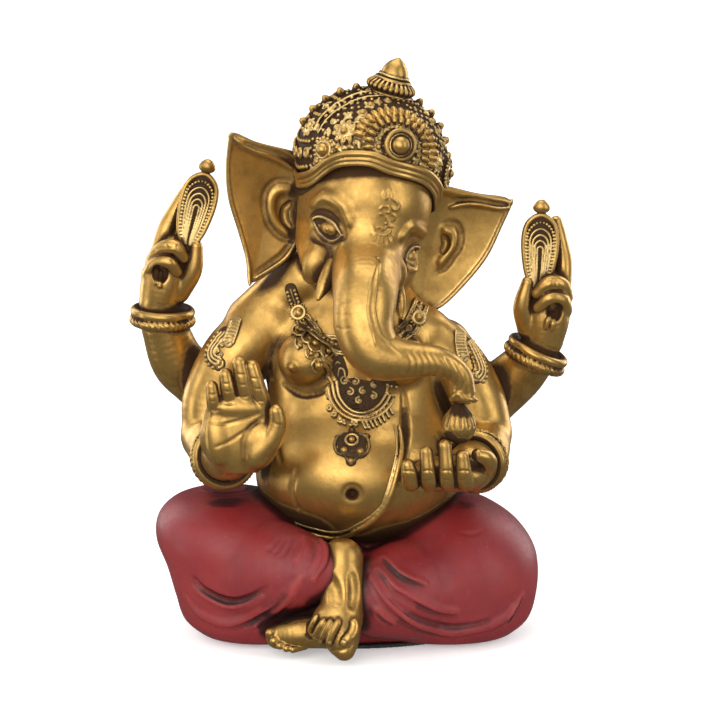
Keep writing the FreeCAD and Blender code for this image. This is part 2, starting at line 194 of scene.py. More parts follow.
def stack(levels):
    """Ovals at rising heights, each as height, middle x, middle y, half width and half depth."""
    table = np.array(levels, float)
    heights = smooth_path([row[:3] for row in levels], 6)
    wide = smooth_path([(row[0], row[3], row[4]) for row in levels], 6)
    z0, z1 = table[0, 0], table[-1, 0]
    low = [(table[:, 1] - table[:, 3]).min(), (table[:, 2] - table[:, 4]).min(), z0]
    high = [(table[:, 1] + table[:, 3]).max(), (table[:, 2] + table[:, 4]).max(), z1]

    def distance(x, y, z):
        zz = np.clip(z, z0, z1)
        cx, cy = (np.interp(zz, heights[:, 0], heights[:, i]) for i in (1, 2))
        w, d = (np.interp(zz, wide[:, 0], wide[:, i]) for i in (1, 2))
        return np.maximum(oval_distance((x - cx, y - cy), (w, d)), np.maximum(z0 - z, z - z1))

    return Shape(low, high, distance)


def torus(centre, axis, major, minor):
    c, n = np.asarray(centre, float), unit(axis)
    reach = major * np.sqrt(np.maximum(1 - n ** 2, 0)) + minor

    def distance(x, y, z):
        along = (x - c[0]) * n[0] + (y - c[1]) * n[1] + (z - c[2]) * n[2]
        total = (x - c[0]) ** 2 + (y - c[1]) ** 2 + (z - c[2]) ** 2
        flat = np.sqrt(np.maximum(total - along ** 2, 0)) - major
        return np.sqrt(flat ** 2 + along ** 2) - minor

    return Shape(c - reach, c + reach, distance)


def half_space(point, normal):
    """Everything behind a plane, that is against its normal."""
    p, n = np.asarray(point, float), unit(normal)
    return Shape([-FAR] * 3, [FAR] * 3,
                 lambda x, y, z: (x - p[0]) * n[0] + (y - p[1]) * n[1] + (z - p[2]) * n[2])


def blend(a, b, k):
    """The union of two fields with a fillet of about k."""
    h = np.clip(0.5 + 0.5 * (b - a) / k, 0, 1)
    return b + (a - b) * h - k * h * (1 - h)


# ---- a field on a grid -----------------------------------------------------------------------------
class Grid:
    """A distance field sampled on a box, with its own and its neighbours' shares kept apart."""

    def __init__(self, low, high, step):
        self.step = step
        self.low = np.floor(np.asarray(low, float) / step) * step
        self.shape = tuple(int(math.ceil((h - l) / step)) + 1 for l, h in zip(self.low, high))
        self.field = np.full(self.shape, FAR, np.float32)
        self.own = np.full(self.shape, FAR, np.float32)
        self.other = np.full(self.shape, FAR, np.float32)
        self.shared = False
        self.base = None         # what things are laid on, where that isn't the field itself

    def block(self, low, high, margin):
        """The slice of the grid that holds a box, or None."""
        first = np.floor((low - margin - self.low) / self.step).astype(int)
        last = np.ceil((high + margin - self.low) / self.step).astype(int) + 1
        first, last = np.maximum(first, 0), np.minimum(last, self.shape)
        if (last - first < 1).any():
            return None
        return tuple(slice(a, b) for a, b in zip(first, last))

    def axes(self, block):
        """Broadcasting coordinates of a slice."""
        out = []
        for i, s in enumerate(block):
            line = self.low[i] + self.step * np.arange(s.start, s.stop)
            shape = [1, 1, 1]
            shape[i] = -1
            out.append(line.astype(np.float32).reshape(shape))
        return out

    def whole(self):
        """Broadcasting coordinates of the whole grid."""
        return self.axes([slice(0, n) for n in self.shape])

    def as_ground(self, keep=False):
        """Turns what is sampled so far into ground to lay things on. With keep it stays part of the piece."""
        self.base = self.field
        self.field = self.field.copy() if keep else np.full(self.shape, FAR, np.float32)

    def distance(self, shape, margin):
        """A shape's distance on the slice that it reaches."""
        block = self.block(shape.low, shape.high, margin)
        if block is None:
            return None, None
        if not isinstance(shape.distance, list):
            return block, shape.distance(*self.axes(block)).astype(np.float32)
        size = tuple(s.stop - s.start for s in block)
        out = np.full(size, FAR, np.float32)
        for (low, high), part in shape.distance:
            inner = self.block(low, high, margin)
            if inner is None:
                continue
            view = tuple(slice(s.start - b.start, s.stop - b.start) for s, b in zip(inner, block))
            out[view] = np.minimum(out[view], cone_distance(*part, *self.axes(inner)))
        return block, out

    def covers(self, points):
        """Whether points are inside the grid."""
        q = (points - self.low) / self.step
        return ((q >= 0) & (q <= np.array(self.shape) - 1)).all(axis=1)

    def add(self, shape, k=1.0, mine=None, near=None, reach=0.6):
        """Blends a shape in. mine says whether it belongs to this piece (True), another (False) or neither.
        near is a point, a distance and the softer fillet that holds round it."""
        block, d = self.distance(shape, max(k, near[2] if near else 0) + 3 * self.step + reach)
        if block is None:
            return
        if near:
            x, y, z = self.axes(block)
            gap2 = (x - near[0][0]) ** 2 + (y - near[0][1]) ** 2 + (z - near[0][2]) ** 2
            k = k + (near[2] - k) * np.exp(-gap2 / near[1] ** 2)
        self.field[block] = blend(self.field[block], d, k)
        if mine is True:
            self.own[block] = np.minimum(self.own[block], d)
        elif mine is False:
            self.shared = True
            self.other[block] = np.minimum(self.other[block], d)

    def cut(self, shape, k=0.5):
        """Takes a shape away, with a soft edge."""
        block, d = self.distance(shape, k + 2 * self.step)
        if block is not None:
            self.field[block] = -blend(-self.field[block], d, k)

    def keep(self, shape, k=0.5):
        """Keeps only what is inside a shape."""
        d = shape.distance(*self.whole())
        self.field = (-blend(-self.field, -d.astype(np.float32), k)).astype(np.float32)

    def split(self, overlap):
        """Keeps this piece's share of a form that runs on into its neighbours, tucked a little under them."""
        if self.shared:
            past = (self.own - self.other) * 0.5
            self.field = np.maximum(self.field + 0.3 * np.clip(past, 0, overlap), past - overlap)

    def sample(self, points, source=None):
        """The field at any points, linearly between the samples."""
        f = source if source is not None else self.field if self.base is None else self.base
        q = (np.asarray(points, float) - self.low) / self.step
        q = np.clip(q, 0, np.array(self.shape) - 1.001)
        i = q.astype(int)
        t = (q - i).T
        out = 0
        for a in (0, 1):
            for b in (0, 1):
                for c in (0, 1):
                    w = (t[0] if a else 1 - t[0]) * (t[1] if b else 1 - t[1]) * (t[2] if c else 1 - t[2])
                    out = out + w * f[i[:, 0] + a, i[:, 1] + b, i[:, 2] + c]
        return out

    def slope(self, points, source=None):
        """The field's gradient at any points."""
        g = np.empty((len(points), 3))
        for i in range(3):
            off = np.zeros(3)
            off[i] = self.step
            rise = self.sample(points + off, source) - self.sample(points - off, source)
            g[:, i] = rise / (2 * self.step)
        return g

    def settle(self, points, lift=0.0, rounds=4):
        """Points moved on to the surface, then lifted along its normal. Gives the points and the normals."""
        p = np.array(points, float)
        for _ in range(rounds):
            g = self.slope(p)
            size2 = np.maximum((g ** 2).sum(axis=1), 0.05)
            move = np.clip(self.sample(p) / size2, -3, 3)
            p = p - g * move[:, None]
        n = unit(self.slope(p))
        return p + n * lift, n

    def lay(self, points, lift=0.0, per_span=8):
        """A smooth line through points, laid on the surface."""
        return self.settle(smooth_path(points, per_span), lift)

    def ridge(self, points, radius, k=0.5, lift=0.0, ends=0.4):
        """A raised line on the surface, thinner at its ends."""
        line, _ = self.lay(points, lift)
        self.add(polyline(line, tapered(len(line), radius, ends)), k)

    def groove(self, points, radius, k=0.4, lift=0.0, ends=0.3):
        """A line cut into the surface, shallower at its ends."""
        line, _ = self.lay(points, lift)
        self.cut(polyline(line, tapered(len(line), radius, ends)), k)

    def mesh(self):
        """Closed quads where the field crosses zero, moved on to the surface."""
        verts, quads = surface_net(self.field, self.low, self.step)
        for _ in range(2):
            g = self.slope(verts, self.field)
            size2 = np.maximum((g ** 2).sum(axis=1), 0.2)
            move = np.clip(self.sample(verts, self.field) / size2, -0.4 * self.step, 0.4 * self.step)
            verts = verts - g * move[:, None]
        return verts, quads


def tapered(count, radius, ends):
    """Radii along a line that thins towards both ends."""
    t = np.linspace(0, 1, count)
    return radius * (ends + (1 - ends) * np.sin(np.pi * t) ** 0.5)


def polyline(line, radii):
    """A tube through points that are close together already."""
    low = (line - np.max(radii)).min(axis=0)
    high = (line + np.max(radii)).max(axis=0)
    return Shape(low, high, segments(line, radii))


def surface_net(field, low, step):
    """One vertex in each cell that the surface passes, and a quad across each grid edge that it cuts."""
    inside = field < 0
    n = np.array(field.shape)
    count = np.zeros(n - 1, np.int8)
    for a in (0, 1):
        for b in (0, 1):
            for c in (0, 1):
                count += inside[a:n[0] - 1 + a, b:n[1] - 1 + b, c:n[2] - 1 + c]
    active = (count > 0) & (count < 8)
    cells = np.argwhere(active)
    index = np.full(n - 1, -1, np.int32)
    index[active] = np.arange(len(cells))
    total, hits = np.zeros((len(cells), 3)), np.zeros(len(cells))
    for axis in range(3):
        others = [i for i in range(3) if i != axis]
        for a in (0, 1):
            for b in (0, 1):
                start = np.zeros(3, int)
                start[others[0]], start[others[1]] = a, b
                end = start.copy()
                end[axis] = 1
                f0 = field[tuple((cells + start).T)]
                f1 = field[tuple((cells + end).T)]
                cross = (f0 < 0) != (f1 < 0)
                t = np.where(cross, f0 / np.where(cross, f0 - f1, 1), 0)
                spot = np.tile(start.astype(float), (len(cells), 1))
                spot[:, axis] = t
                total += spot * cross[:, None]
                hits += cross
    verts = low + step * (cells + total / hits[:, None])
    quads = []
    for axis in range(3):
        u, v = ((1, 2), (2, 0), (0, 1))[axis]
        a = [slice(1, -1)] * 3
        b = [slice(1, -1)] * 3
        a[axis], b[axis] = slice(0, -1), slice(1, None)
        near, far = inside[tuple(a)], inside[tuple(b)]
        for first, flip in ((near & ~far, False), (far & ~near, True)):
            spots = np.argwhere(first)
            spots[:, u] += 1
            spots[:, v] += 1
            corners = []
            for du, dv in ((-1, -1), (0, -1), (0, 0), (-1, 0)):
                c = spots.copy()
                c[:, u] += du
                c[:, v] += dv
                corners.append(index[tuple(c.T)])
            face = np.stack(corners, axis=1)
            quads.append(face[:, ::-1] if flip else face)
    return verts, np.vstack(quads)


# ---- how a detail is placed ------------------------------------------------------------------------
VIEW_DISTANCE = 900.0        # from the viewer to the target
VIEW_RISE = 8.0              # degrees that the viewer looks down
NEAREST, FURTHEST = -64.0, 45.0      # the depths between which a surface is looked for
LOOK_STEP = 0.4
TARGET = np.array([4.5, 0.0, 95.0])
VIEW_UP = np.array([0.0, math.sin(math.radians(VIEW_RISE)), math.cos(math.radians(VIEW_RISE))])
VIEW_AWAY = np.array([0.0, math.cos(math.radians(VIEW_RISE)), -math.sin(math.radians(VIEW_RISE))])
VIEWER = TARGET - VIEW_DISTANCE * VIEW_AWAY


def cast(grid, spots, lift=0.0, per_span=8, curve=True):
    """Front-view positions, across and up in mm at the target's distance, carried back on to the surface.
    With curve they are the corners of a smooth line. Gives points and normals."""
    spots = np.array(spots, float).reshape(-1, 2)
    if curve and len(spots) > 1:
        spots = smooth_path([(u, v, 0) for u, v in spots], per_span)[:, :2]
    across = (spots[:, :1] - TARGET[0]) * np.array([1.0, 0, 0])
    through = TARGET + across + (spots[:, 1:2] - TARGET[2]) * VIEW_UP
    ways = unit(through - VIEWER)
    start = VIEWER + ways * ((NEAREST - VIEWER[1]) / ways[:, 1:2])
    reach = np.zeros(len(spots))
    found = np.zeros(len(spots), bool)
    for _ in range(int((FURTHEST - NEAREST) / LOOK_STEP)):
        here = start + ways * reach[:, None]
        found |= (grid.sample(here) < 0) & grid.covers(here)
        reach = np.where(found, reach, reach + LOOK_STEP)
        if found.all():
            break
    if found.any() and not found.all():
        good = np.flatnonzero(found)
        for i in np.flatnonzero(~found):
            reach[i] = reach[good[np.argmin(abs(good - i))]]
    return grid.settle(start + ways * reach[:, None], lift)


def touch(grid, spot):
    """The surface point behind one front-view position, and its normal."""
    points, normals = cast(grid, [spot])
    return points[0], normals[0]


def axes_on(normal, along):
    """Axes across, along and out of a surface, as the columns of a rotation."""
    n = unit(normal)
    t = unit(np.asarray(along, float) - (np.asarray(along, float) @ n) * n)
    return np.column_stack([np.cross(t, n), t, n])


def bead(grid, point, normal, radius, rise=0.35, k=0.2):
    """A ball that is partly sunk in the surface."""
    grid.add(ball(point + normal * radius * rise, radius), k)


def petal(grid, point, normal, along, length, width, height, k=0.2, hollow=0.0, rise=0.2):
    """A leaf that lies on the surface, with a hollow middle if hollow is over 0."""
    m = axes_on(normal, along)
    centre = point + m[:, 1] * length * 0.5 + m[:, 2] * height * rise
    grid.add(ellipsoid(centre, (width * 0.5, length * 0.5, height), m), k)
    if hollow > 0:
        grid.cut(ellipsoid(centre + m[:, 2] * height * 0.9,
                           (width * 0.5 * hollow, length * 0.5 * hollow, height * 0.75), m), 0.15)


def flower(grid, point, normal, radius, petals=8, along=(0, 0, 1), centre=0.34, height=0.8, ring=True):
    """Petals round a ball, with a fine ring between them."""
    m = axes_on(normal, along)
    for i in range(petals):
        way = spin(m, 2 * math.pi * i / petals)
        petal(grid, point + way * radius * 0.42, normal, way, radius * 0.62, radius * 4.2 / petals,
              height * 0.8, hollow=0.55)
    if ring:
        grid.add(torus(point + normal * height * 0.5, normal, radius * 0.42, radius * 0.08 + 0.12), 0.15)
    bead(grid, point, normal, radius * centre, 0.75, 0.15)


def curl(grid, point, normal, along, radius, turns=1.1, thick=0.45, hand=1):
    """A C scroll that ends in a small ball."""
    m = axes_on(normal, along)
    run, radii = [], []
    for i in range(9):
        t = i / 8
        way = spin(m, hand * (turns * 2 * math.pi * t))
        run.append(point + way * (radius * (1 - 0.72 * t)) + normal * thick * 0.5)
        radii.append(thick * (1.0 - 0.3 * t))
    grid.add(tube(run, radii, 3), 0.15)
    bead(grid, point + normal * 0.2, normal, thick * 1.35, 0.6, 0.15)


def bead_row(grid, line, normals, radius, spacing, rise=0.35, k=0.15):
    """Balls at an even spacing along a line."""
    run = lengths(line)
    for d in np.arange(spacing / 2, run[-1], spacing):
        bead(grid, at_length(d, run, line), unit(at_length(d, run, normals)), radius, rise, k)


def twist(grid, line, radius, pitch, strands=2, k=0.15):
    """A corded line: strands wound round each other."""
    run = lengths(line)
    count = max(int(run[-1] / pitch * 8), 8)
    d = np.linspace(0, run[-1], count)
    p = np.stack([np.interp(d, run, line[:, i]) for i in range(3)], axis=1)
    t = unit(np.gradient(p, axis=0))
    side = unit(np.cross(t, np.tile([0.13, 0.31, 0.94], (count, 1))))
    other = np.cross(t, side)
    for s in range(strands):
        a = 2 * math.pi * (d / pitch + s / strands)
        strand = p + (side * np.cos(a)[:, None] + other * np.sin(a)[:, None]) * radius * 0.52
        grid.add(polyline(strand, np.full(count, radius * 0.62)), k)


def circle(centre, axis, radius, count=48):
    """Points round a circle, closed."""
    m = axes_on(axis, (0.02, 0.3, 0.95) if abs(unit(axis)[2]) < 0.9 else (0, 1, 0))
    a = np.linspace(0, 2 * math.pi, count + 1)
    return np.asarray(centre, float) + radius * (np.outer(np.cos(a), m[:, 0]) + np.outer(np.sin(a), m[:, 1]))


def bead_ring(grid, centre, axis, ring, radius, spacing, rise):
    """Balls round a circle, all of them facing along its axis."""
    line = circle(centre, axis, ring)
    bead_row(grid, line, np.tile(axis, (len(line), 1)), radius, spacing, rise)


def carve(grid, spots, radius, k=0.4, lift=0.25, ends=0.3):
    """A groove along a line given as it shows from the front."""
    line, _ = cast(grid, spots, lift)
    grid.cut(polyline(line, tapered(len(line), radius, ends)), k)


def swell(grid, spots, radius, k=0.8, lift=0.0, ends=0.4):
    """A raised line given as it shows from the front."""
    line, _ = cast(grid, spots, lift)
    grid.add(polyline(line, tapered(len(line), radius, ends)), k)


def blend_cut(a, b, k):
    """The common part of two fields with a rounded edge of about k."""
    return -blend(-a, -b, k)


def on_pad(grid):
    """Takes away what reaches below the felt's upper face."""
    grid.keep(half_space((0, 0, PAD_TOP), (0, 0, -1)), 0.3)


# ---- the forms that run through several castings ---------------------------------------------------
UPPER_ARMS = {
    "right_front_upper_arm": ([(-26, 6, 106), (-38, 3, 97), (-46.5, 2, 82), (-48, 0, 70)],
                              [11, 11.5, 10.5, 9.5]),
    "left_front_upper_arm": ([(27, 7, 102), (37, 4, 93), (44, 3, 82), (47.5, 1, 71)],
                             [10.5, 10.8, 10.5, 9.8]),
    "right_rear_upper_arm": ([(-28, 20, 98), (-40, 22, 90), (-49, 21, 85)], [10, 10, 9.6]),
    "left_rear_upper_arm": ([(34, 20, 97), (42, 22, 86), (48, 21, 79)], [10, 10, 10]),
}
FOREARMS = {
    "right_front_forearm": ([(-48, -1, 68), (-44, -16, 65), (-39.5, -30, 66.5)], [9.6, 8.9, 8.2]),
    "left_front_forearm": ([(47.5, 0, 67.5), (46.5, -13, 64), (41.5, -27, 62)], [9.6, 8.9, 8.2]),
    "right_rear_forearm": ([(-53, 20, 85), (-60, 16.5, 92.5), (-64.3, 12.5, 105)], [9.8, 9.4, 8.0]),
    "left_rear_forearm": ([(51, 20, 79), (59.5, 16, 87), (65, 12.5, 93.5)], [10.2, 9.4, 8.2]),
}
# right front hand: finger roots and tips across and up, and the finger's radius
OPEN_FINGERS = [((-28.0, 87), (-31.2, 98.8), 2.7), ((-33.2, 88.5), (-35.3, 100.0), 2.8),
                ((-38.6, 87.0), (-39.9, 96.2), 2.6), ((-43.8, 84.0), (-44.5, 92.2), 2.35)]
# left front hand: finger across, and the height of its tip
CURLED_FINGERS = [(21.5, 67.0), (27.5, 71.5), (33.7, 73.5), (39.3, 70.0)]


def body_forms():
    """The gold body, as owner, shape, fillet, and a place where the fillet is softer."""
    forms = [
        ("torso", stack([(34, 4, 5, 25, 22), (44, 4, 2, 33, 30), (56, 4, 0, 36, 33), (68, 4, 1, 34, 31),
                         (80, 3, 4, 30.5, 25), (92, 2, 6, 31, 22.5), (102, 2, 7, 31, 20.5),
                         (110, 3, 8, 28, 18), (117, 4, 7, 20, 15), (124, 5, 4, 14, 13)]), 1.0, None),
        ("torso", ellipsoid((-14.2, -12.8, 97), (9.4, 9.2, 9.2)), 2.2, None),
        ("torso", ellipsoid((17, -12.8, 97), (10.5, 9.0, 9.2)), 3.0, None),
        ("torso", ellipsoid((3.5, -9, 57), (31, 24.5, 22)), 5.0, None),
        ("torso", tube([(-33, 8, 107.5), (-24, 8, 115), (-14, 6, 122.5)], [9.5, 10, 10.5]), 4.0, None),
    ]
    for name, (points, radii) in UPPER_ARMS.items():
        forms.append((name, tube(points, radii), 2.5, (np.array(points[0], float), 12.0, 5.0)))
    for name, (points, radii) in FOREARMS.items():
        forms.append((name, tube(points, radii), 0.8, (np.array(points[0], float), 10.0, 3.5)))
    return forms + right_hand_forms() + left_hand_forms() + rear_hand_forms("right") + rear_hand_forms("left")


def finger(owner, run, radii, web=2.2, spread=3.6):
    """One finger, filleted where it leaves the palm only."""
    return owner, tube(run, radii, 8), 0.25, (np.array(run[0], float), spread, web)


def right_hand_forms():
    """Raised open, palm forward, with a swelling at the foot of the thumb and of the little finger."""
    owner = "right_front_hand"
    forms = [
        (owner, stack([(62.5, -35, -37.6, 5.5, 3.6), (66, -35.3, -38.2, 10.2, 4.9),
                       (72, -35.5, -38.9, 13.2, 5.2), (79, -35.6, -39.6, 12.6, 4.6),
                       (86, -35.8, -40.0, 10.6, 3.8), (89, -36, -40.3, 8, 3)]),
         2.0, None),
        (owner, ellipsoid((-28.6, -42.0, 72.5), (5.2, 3.6, 8.2), turn("y", 18)), 1.2, None),
        (owner, ellipsoid((-42.8, -41.8, 74), (4.4, 3.2, 8.6), turn("y", -6)), 1.6, None),
        (owner, ellipsoid((-36, -42.4, 85.0), (9.0, 2.2, 2.6)), 1.4, None),
    ]
    for (x, z), (tx, tz), r in OPEN_FINGERS:
        mid = (x * 0.5 + tx * 0.5, -42.6, z * 0.5 + tz * 0.5)
        forms.append(finger(owner, [(x, -40.5, z - 6), (x, -41.2, z), mid, (tx, -43.0, tz)],
                            [r, r * 1.02, r * 0.98, r * 0.86], 1.2, 4.0))
    forms.append(finger(owner, [(-30, -40.8, 69), (-25.0, -42.2, 74.5), (-22.9, -43.2, 80), (-23.2, -44, 84)],
                        [4.6, 3.9, 3.0, 2.5], 2.2, 6.0))
    return forms


def left_hand_forms():
    """Held palm up, fingers curled up round the sweet."""
    owner = "left_front_hand"
    forms = [(owner, stack([(56, 34, -36, 6, 4), (58.3, 34, -37, 11, 7), (61.5, 34, -37.5, 13, 8.5),
                            (64.7, 34, -37.3, 11.5, 7.5), (67, 34, -37, 7, 5)]), 2.0, None)]
    for x, tip in CURLED_FINGERS:
        forms.append(finger(owner, [(x, -40, 60.5), (x, -45.6, 60.3), (x - 0.6, -49.3, 64.0),
                                    (x - 1.2, -50.0, tip)], [3.1, 2.9, 2.7, 2.2], 1.4, 5.0))
    forms.append(finger(owner, [(43, -33, 62), (47, -38, 65), (46.5, -42, 68), (43.5, -44.5, 69.5)],
                        [3.8, 3.2, 2.7, 2.2], 2.5, 6.0))
    return forms


# each raised hand: its wrist across, which way its inner side is, its lean, and the height of its wrist
REAR_HANDS = {"right": (-64.5, 1, 3.6, 117.5), "left": (69.0, -1, 0.8, 105.0)}
# its fingers: points from the wrist, radii, the web at the palm, and how far that reaches
REAR_FINGERS = [
    ([(-5, -1, 11), (-5.2, 1.0, 22), (-3.4, 2.0, 30), (-1.5, 2.5, 37)], [3.2, 3.0, 2.7, 2.1], 2.0, 6.0),
    ([(-1, 1, 12), (0.0, 2.5, 22), (2.5, 3.0, 31)], [3.1, 2.8, 2.0], 2.0, 6.0),
    ([(-6.2, -1, 11), (-4.5, -5.6, 15.6), (0, -7.6, 16.6), (4, -6.6, 13)], [3.0, 2.7, 2.6, 2.1], 1.2, 4.0),
    ([(-6.4, -1, 6.5), (-4.9, -5.8, 10.4), (-0.6, -7.6, 11.4), (3.2, -6.4, 8.0)], [2.9, 2.6, 2.5, 2.0], 1.2,
     4.0),
    ([(6.0, -1, 0), (8.6, -4.4, 8), (7.4, -5.6, 16.5)], [3.6, 3.1, 2.2], 2.4, 6.0),
]


def rear_place(side, dx, dy, dz):
    """A point of a raised rear hand, from its wrist: outwards to the body, back, and up."""
    x, way, lean, base = REAR_HANDS[side]
    return (x + way * dx + lean * dz / 12.0, 10 + dy, base + dz)


def rear_hand_forms(side):
    """A raised hand: a palm that stands on the wrist, and its fingers."""
    owner = side + "_rear_hand"
    palm = [rear_place(side, *spot) for spot in ((0, 1, -4), (-0.5, 0.6, 5), (0, 1.2, 14))]
    forms = [(owner, tube(palm, [7.2, 8.2, 6.6]), 2.0, None)]
    for run, radii, web, spread in REAR_FINGERS:
        forms.append(finger(owner, [rear_place(side, *spot) for spot in run], radii, web, spread))
    return forms


def head_forms():
    """Skull, brow, cheeks and the trunk."""
    forms = [
        ("head", head_ellipsoid(0, 0, 3, (22.5, 24.5, 27)), 1.0, None),
        ("head", head_ellipsoid(0, -4, -13, (19.5, 19, 13.5)), 6.0, None),
        ("head", head_ellipsoid(0, -8.5, 9, (18.5, 17.8, 17)), 5.0, None),
        ("head", head_ellipsoid(-14.0, -13.0, -14.5, (6.0, 8.0, 8)), 4.0, None),
        ("head", head_ellipsoid(14.0, -13.0, -14.5, (6.0, 8.0, 8)), 4.0, None),
    ]
    run = [at_head(0, -10, 8), at_head(0, -15.5, -2), at_head(0, -23, -12), (6.2, -39.5, 122),
           (5.8, -45, 112), (10, -47.5, 104), (19, -49, 102), (30, -49.5, 101.5), (37.0, -48.5, 97),
           (38.4, -47, 91.0)]
    forms.append(("trunk", tube(run, [11.5, 12.0, 11.8, 10.7, 9.7, 8.6, 6.4, 4.9, 4.0, 4.2], 10), 0.8,
                  (at_head(0, -15, 0), 15.0, 7.0)))
    return forms


def dhoti_forms():
    """The cloth over the seat and the crossed legs."""
    return [
        ("seat", ellipsoid((0, 14, 22), (50, 33, 27)), 1.0, None),
        ("seat", ellipsoid((2, -6, 14), (37, 29, 22)), 3.0, None),
        ("left_leg", stack([(0, 34, -7, 22, 22), (6, 37, -7, 26, 27), (14, 38.5, -6, 27.3, 29.5),
                            (24, 39, -5, 27.5, 31), (32, 38, -4, 26.5, 30), (40, 36.5, -3, 22, 25),
                            (46, 35.5, -2, 14, 16), (49, 35, -1, 6, 8)]), 3.0, None),
        ("left_leg", tube([(36, -13, 19), (22, -26, 20), (11, -33, 19)], [19, 17.5, 14.0]), 4.0, None),
        ("right_leg", stack([(0, -29, -8, 20, 21), (6, -31.5, -8, 25, 26), (14, -33.5, -7, 26, 28),
                             (24, -35.5, -6, 27, 30), (34, -38.5, -5, 27.8, 31), (42, -39.5, -4, 26, 28),
                             (47.5, -41, -3, 19, 20), (50.5, -43, -2, 8, 9)]), 3.0, None),
        ("right_leg", tube([(-36, -14, 24), (-24, -28, 27), (-10.5, -37.5, 28.5)], [21, 16.5, 10.5]), 1.2,
         (np.array([-36.0, -14, 24]), 20.0, 5.0)),
    ]


FORMS = {"body": body_forms(), "head": head_forms(), "dhoti": dhoti_forms()}


# ---- details cut into and raised on the forms ------------------------------------------------------
def torso_detail(grid):
    p, n = touch(grid, (-19.0, 92.6))
    grid.add(ball(p, 1.5), 1.0)
    bead(grid, p + n * 0.5, n, 0.85, 0.2, 0.4)
    carve(grid, [(-22.2, 86.7), (-16.3, 83.2), (-10.1, 83.6), (-4.5, 86.7)], 1.0, 1.2)
    navel, n = touch(grid, (1.7, 48.2))
    grid.cut(ellipsoid(navel + n * 1.2, (3.8, 2.2, 3.8)), 1.5)
    grid.cut(ellipsoid(navel - n * 0.4, (1.9, 3.4, 1.7)), 0.5)
    carve(grid, [(-29.5, 100.2), (-28.1, 94.3), (-25.3, 88.1)], 0.9, 1.2)
    carve(grid, [(19.4, 83.9), (20.1, 77.0), (20.3, 70.0), (19.4, 61.7), (17.7, 54.1)], 1.7, 1.0, 0.5)
    carve(grid, [(-22.2, 75.9), (-24.3, 67.2), (-22.9, 59.6)], 0.5, 1.4)
    carve(grid, [(-17.7, 56.8), (-19.1, 49.2), (-16.3, 42.3)], 0.4, 1.4)
    grid.groove([(3, 28, 108), (3, 30, 92), (3.5, 33, 74), (4, 35, 56)], 1.0, 3.5)
    grid.groove([(-20, 24, 69), (-10, 31, 66), (3, 34, 65), (16, 31, 66), (26, 24, 69)], 0.5, 2.5)


def lid(outer, middle, inner):
    """A lid's arc from corner to corner through its middle."""
    rise = [m - (a + b) / 2 for m, a, b in zip(middle, outer, inner)]
    shares = (0, 0.17, 0.34, 0.5, 0.66, 0.83, 1)
    return [tuple(a + (b - a) * t + r * math.sin(math.pi * t) ** 0.8 for a, b, r in zip(outer, inner, rise))
            for t in shares]


def eye(grid, centre, inner, outer, top, bottom, crease, bag, globe):
    """An eye from its corners and lids as they show from the front."""
    c, n = touch(grid, centre)
    m = axes_on(n, np.cross(n, touch(grid, outer)[0] - touch(grid, inner)[0]))
    if m[:, 1] @ VIEW_UP < 0:
        m = axes_on(n, -m[:, 1])
    half = math.dist(inner, outer) / 2
    grid.cut(ellipsoid(c + n * 1.2, (half * 1.35, half * 1.0, 2.2), m), 1.8)
    grid.add(ellipsoid(c - n * (globe * 0.62), (globe * 1.12, globe * 0.9, globe * 0.86), m), 0.25)
    front = c + n * (globe * 0.24)
    grid.add(torus(front - n * 0.28, n, 1.35, 0.26), 0.12)
    grid.add(ball(front - n * 0.35, 0.72), 0.12)
    swell(grid, lid(outer, top, inner), 0.66, 0.25, 0.35, 0.5)
    swell(grid, lid(outer, bottom, inner), 0.5, 0.3, 0.2, 0.5)
    carve(grid, crease, 0.42, 0.7)
    swell(grid, bag, 0.75, 1.6)
    carve(grid, bag, 0.28, 0.8, 0.9)


def face_detail(grid):
    """Eyes, brows, cheeks and the mark on the brow. They run across the joint of head and trunk."""
    eye(grid, (-6.6, 140.5), (-1.5, 138.4), (-11.8, 143.9), (-6.9, 144.3), (-6.6, 136.8),
        [(-13.2, 144.3), (-10.1, 147.0), (-5.2, 146.0), (-0.7, 140.8)],
        [(-11.5, 139.4), (-8.7, 135.6), (-4.5, 134.2), (-1.4, 135.6)], 3.6)
    eye(grid, (22.7, 131.4), (19.9, 130.0), (25.8, 133.2), (22.5, 134.4), (23.1, 129.0),
        [(19.1, 132.5), (21.2, 136.6), (24.6, 137.3), (27.1, 134.6)],
        [(20.1, 127.6), (22.5, 126.2), (25.3, 127.6), (27.1, 130.4)], 3.2)
    swell(grid, [(-11.5, 149.1), (-7.3, 151.6), (-1.7, 148.8), (1.0, 142.9)], 1.3, 3.0)
    swell(grid, [(19.1, 138.0), (22.2, 141.5), (26.0, 139.8), (28.1, 136.6)], 1.1, 2.5)
    p, n = cast(grid, [(-11.5, 126.9), (23.6, 121.7)], curve=False)
    grid.add(ellipsoid(p[0] - n[0] * 1.0, (4.6, 3.2, 6.4), HEAD_TURN), 2.6)
    grid.add(ellipsoid(p[1] - n[1] * 1.0, (3.4, 3.2, 5.6), HEAD_TURN), 2.6)
    forehead_relief(grid)


def head_detail(grid):
    face_detail(grid)
    carve(grid, [(-4.9, 129.0), (-6.9, 125.5), (-7.6, 121.4)], 0.7, 0.9)
    corner, _ = touch(grid, (-4.5, 129.0))
    grid.cut(ellipsoid(corner, (1.6, 1.6, 1.5)), 0.7)
    for side, spot in ((-1, (-5.6, 123.8)), (1, (20.1, 116.2))):
        socket, _ = touch(grid, spot)
        grid.add(torus(socket, at_head(side * 14.5, -29, -25) - at_head(side * 11.5, -23, -17), 3.2, 1.1),
                 1.4)
    carve(grid, [(-16.3, 129.0), (-15.3, 124.1), (-12.2, 119.6)], 0.5, 1.2)


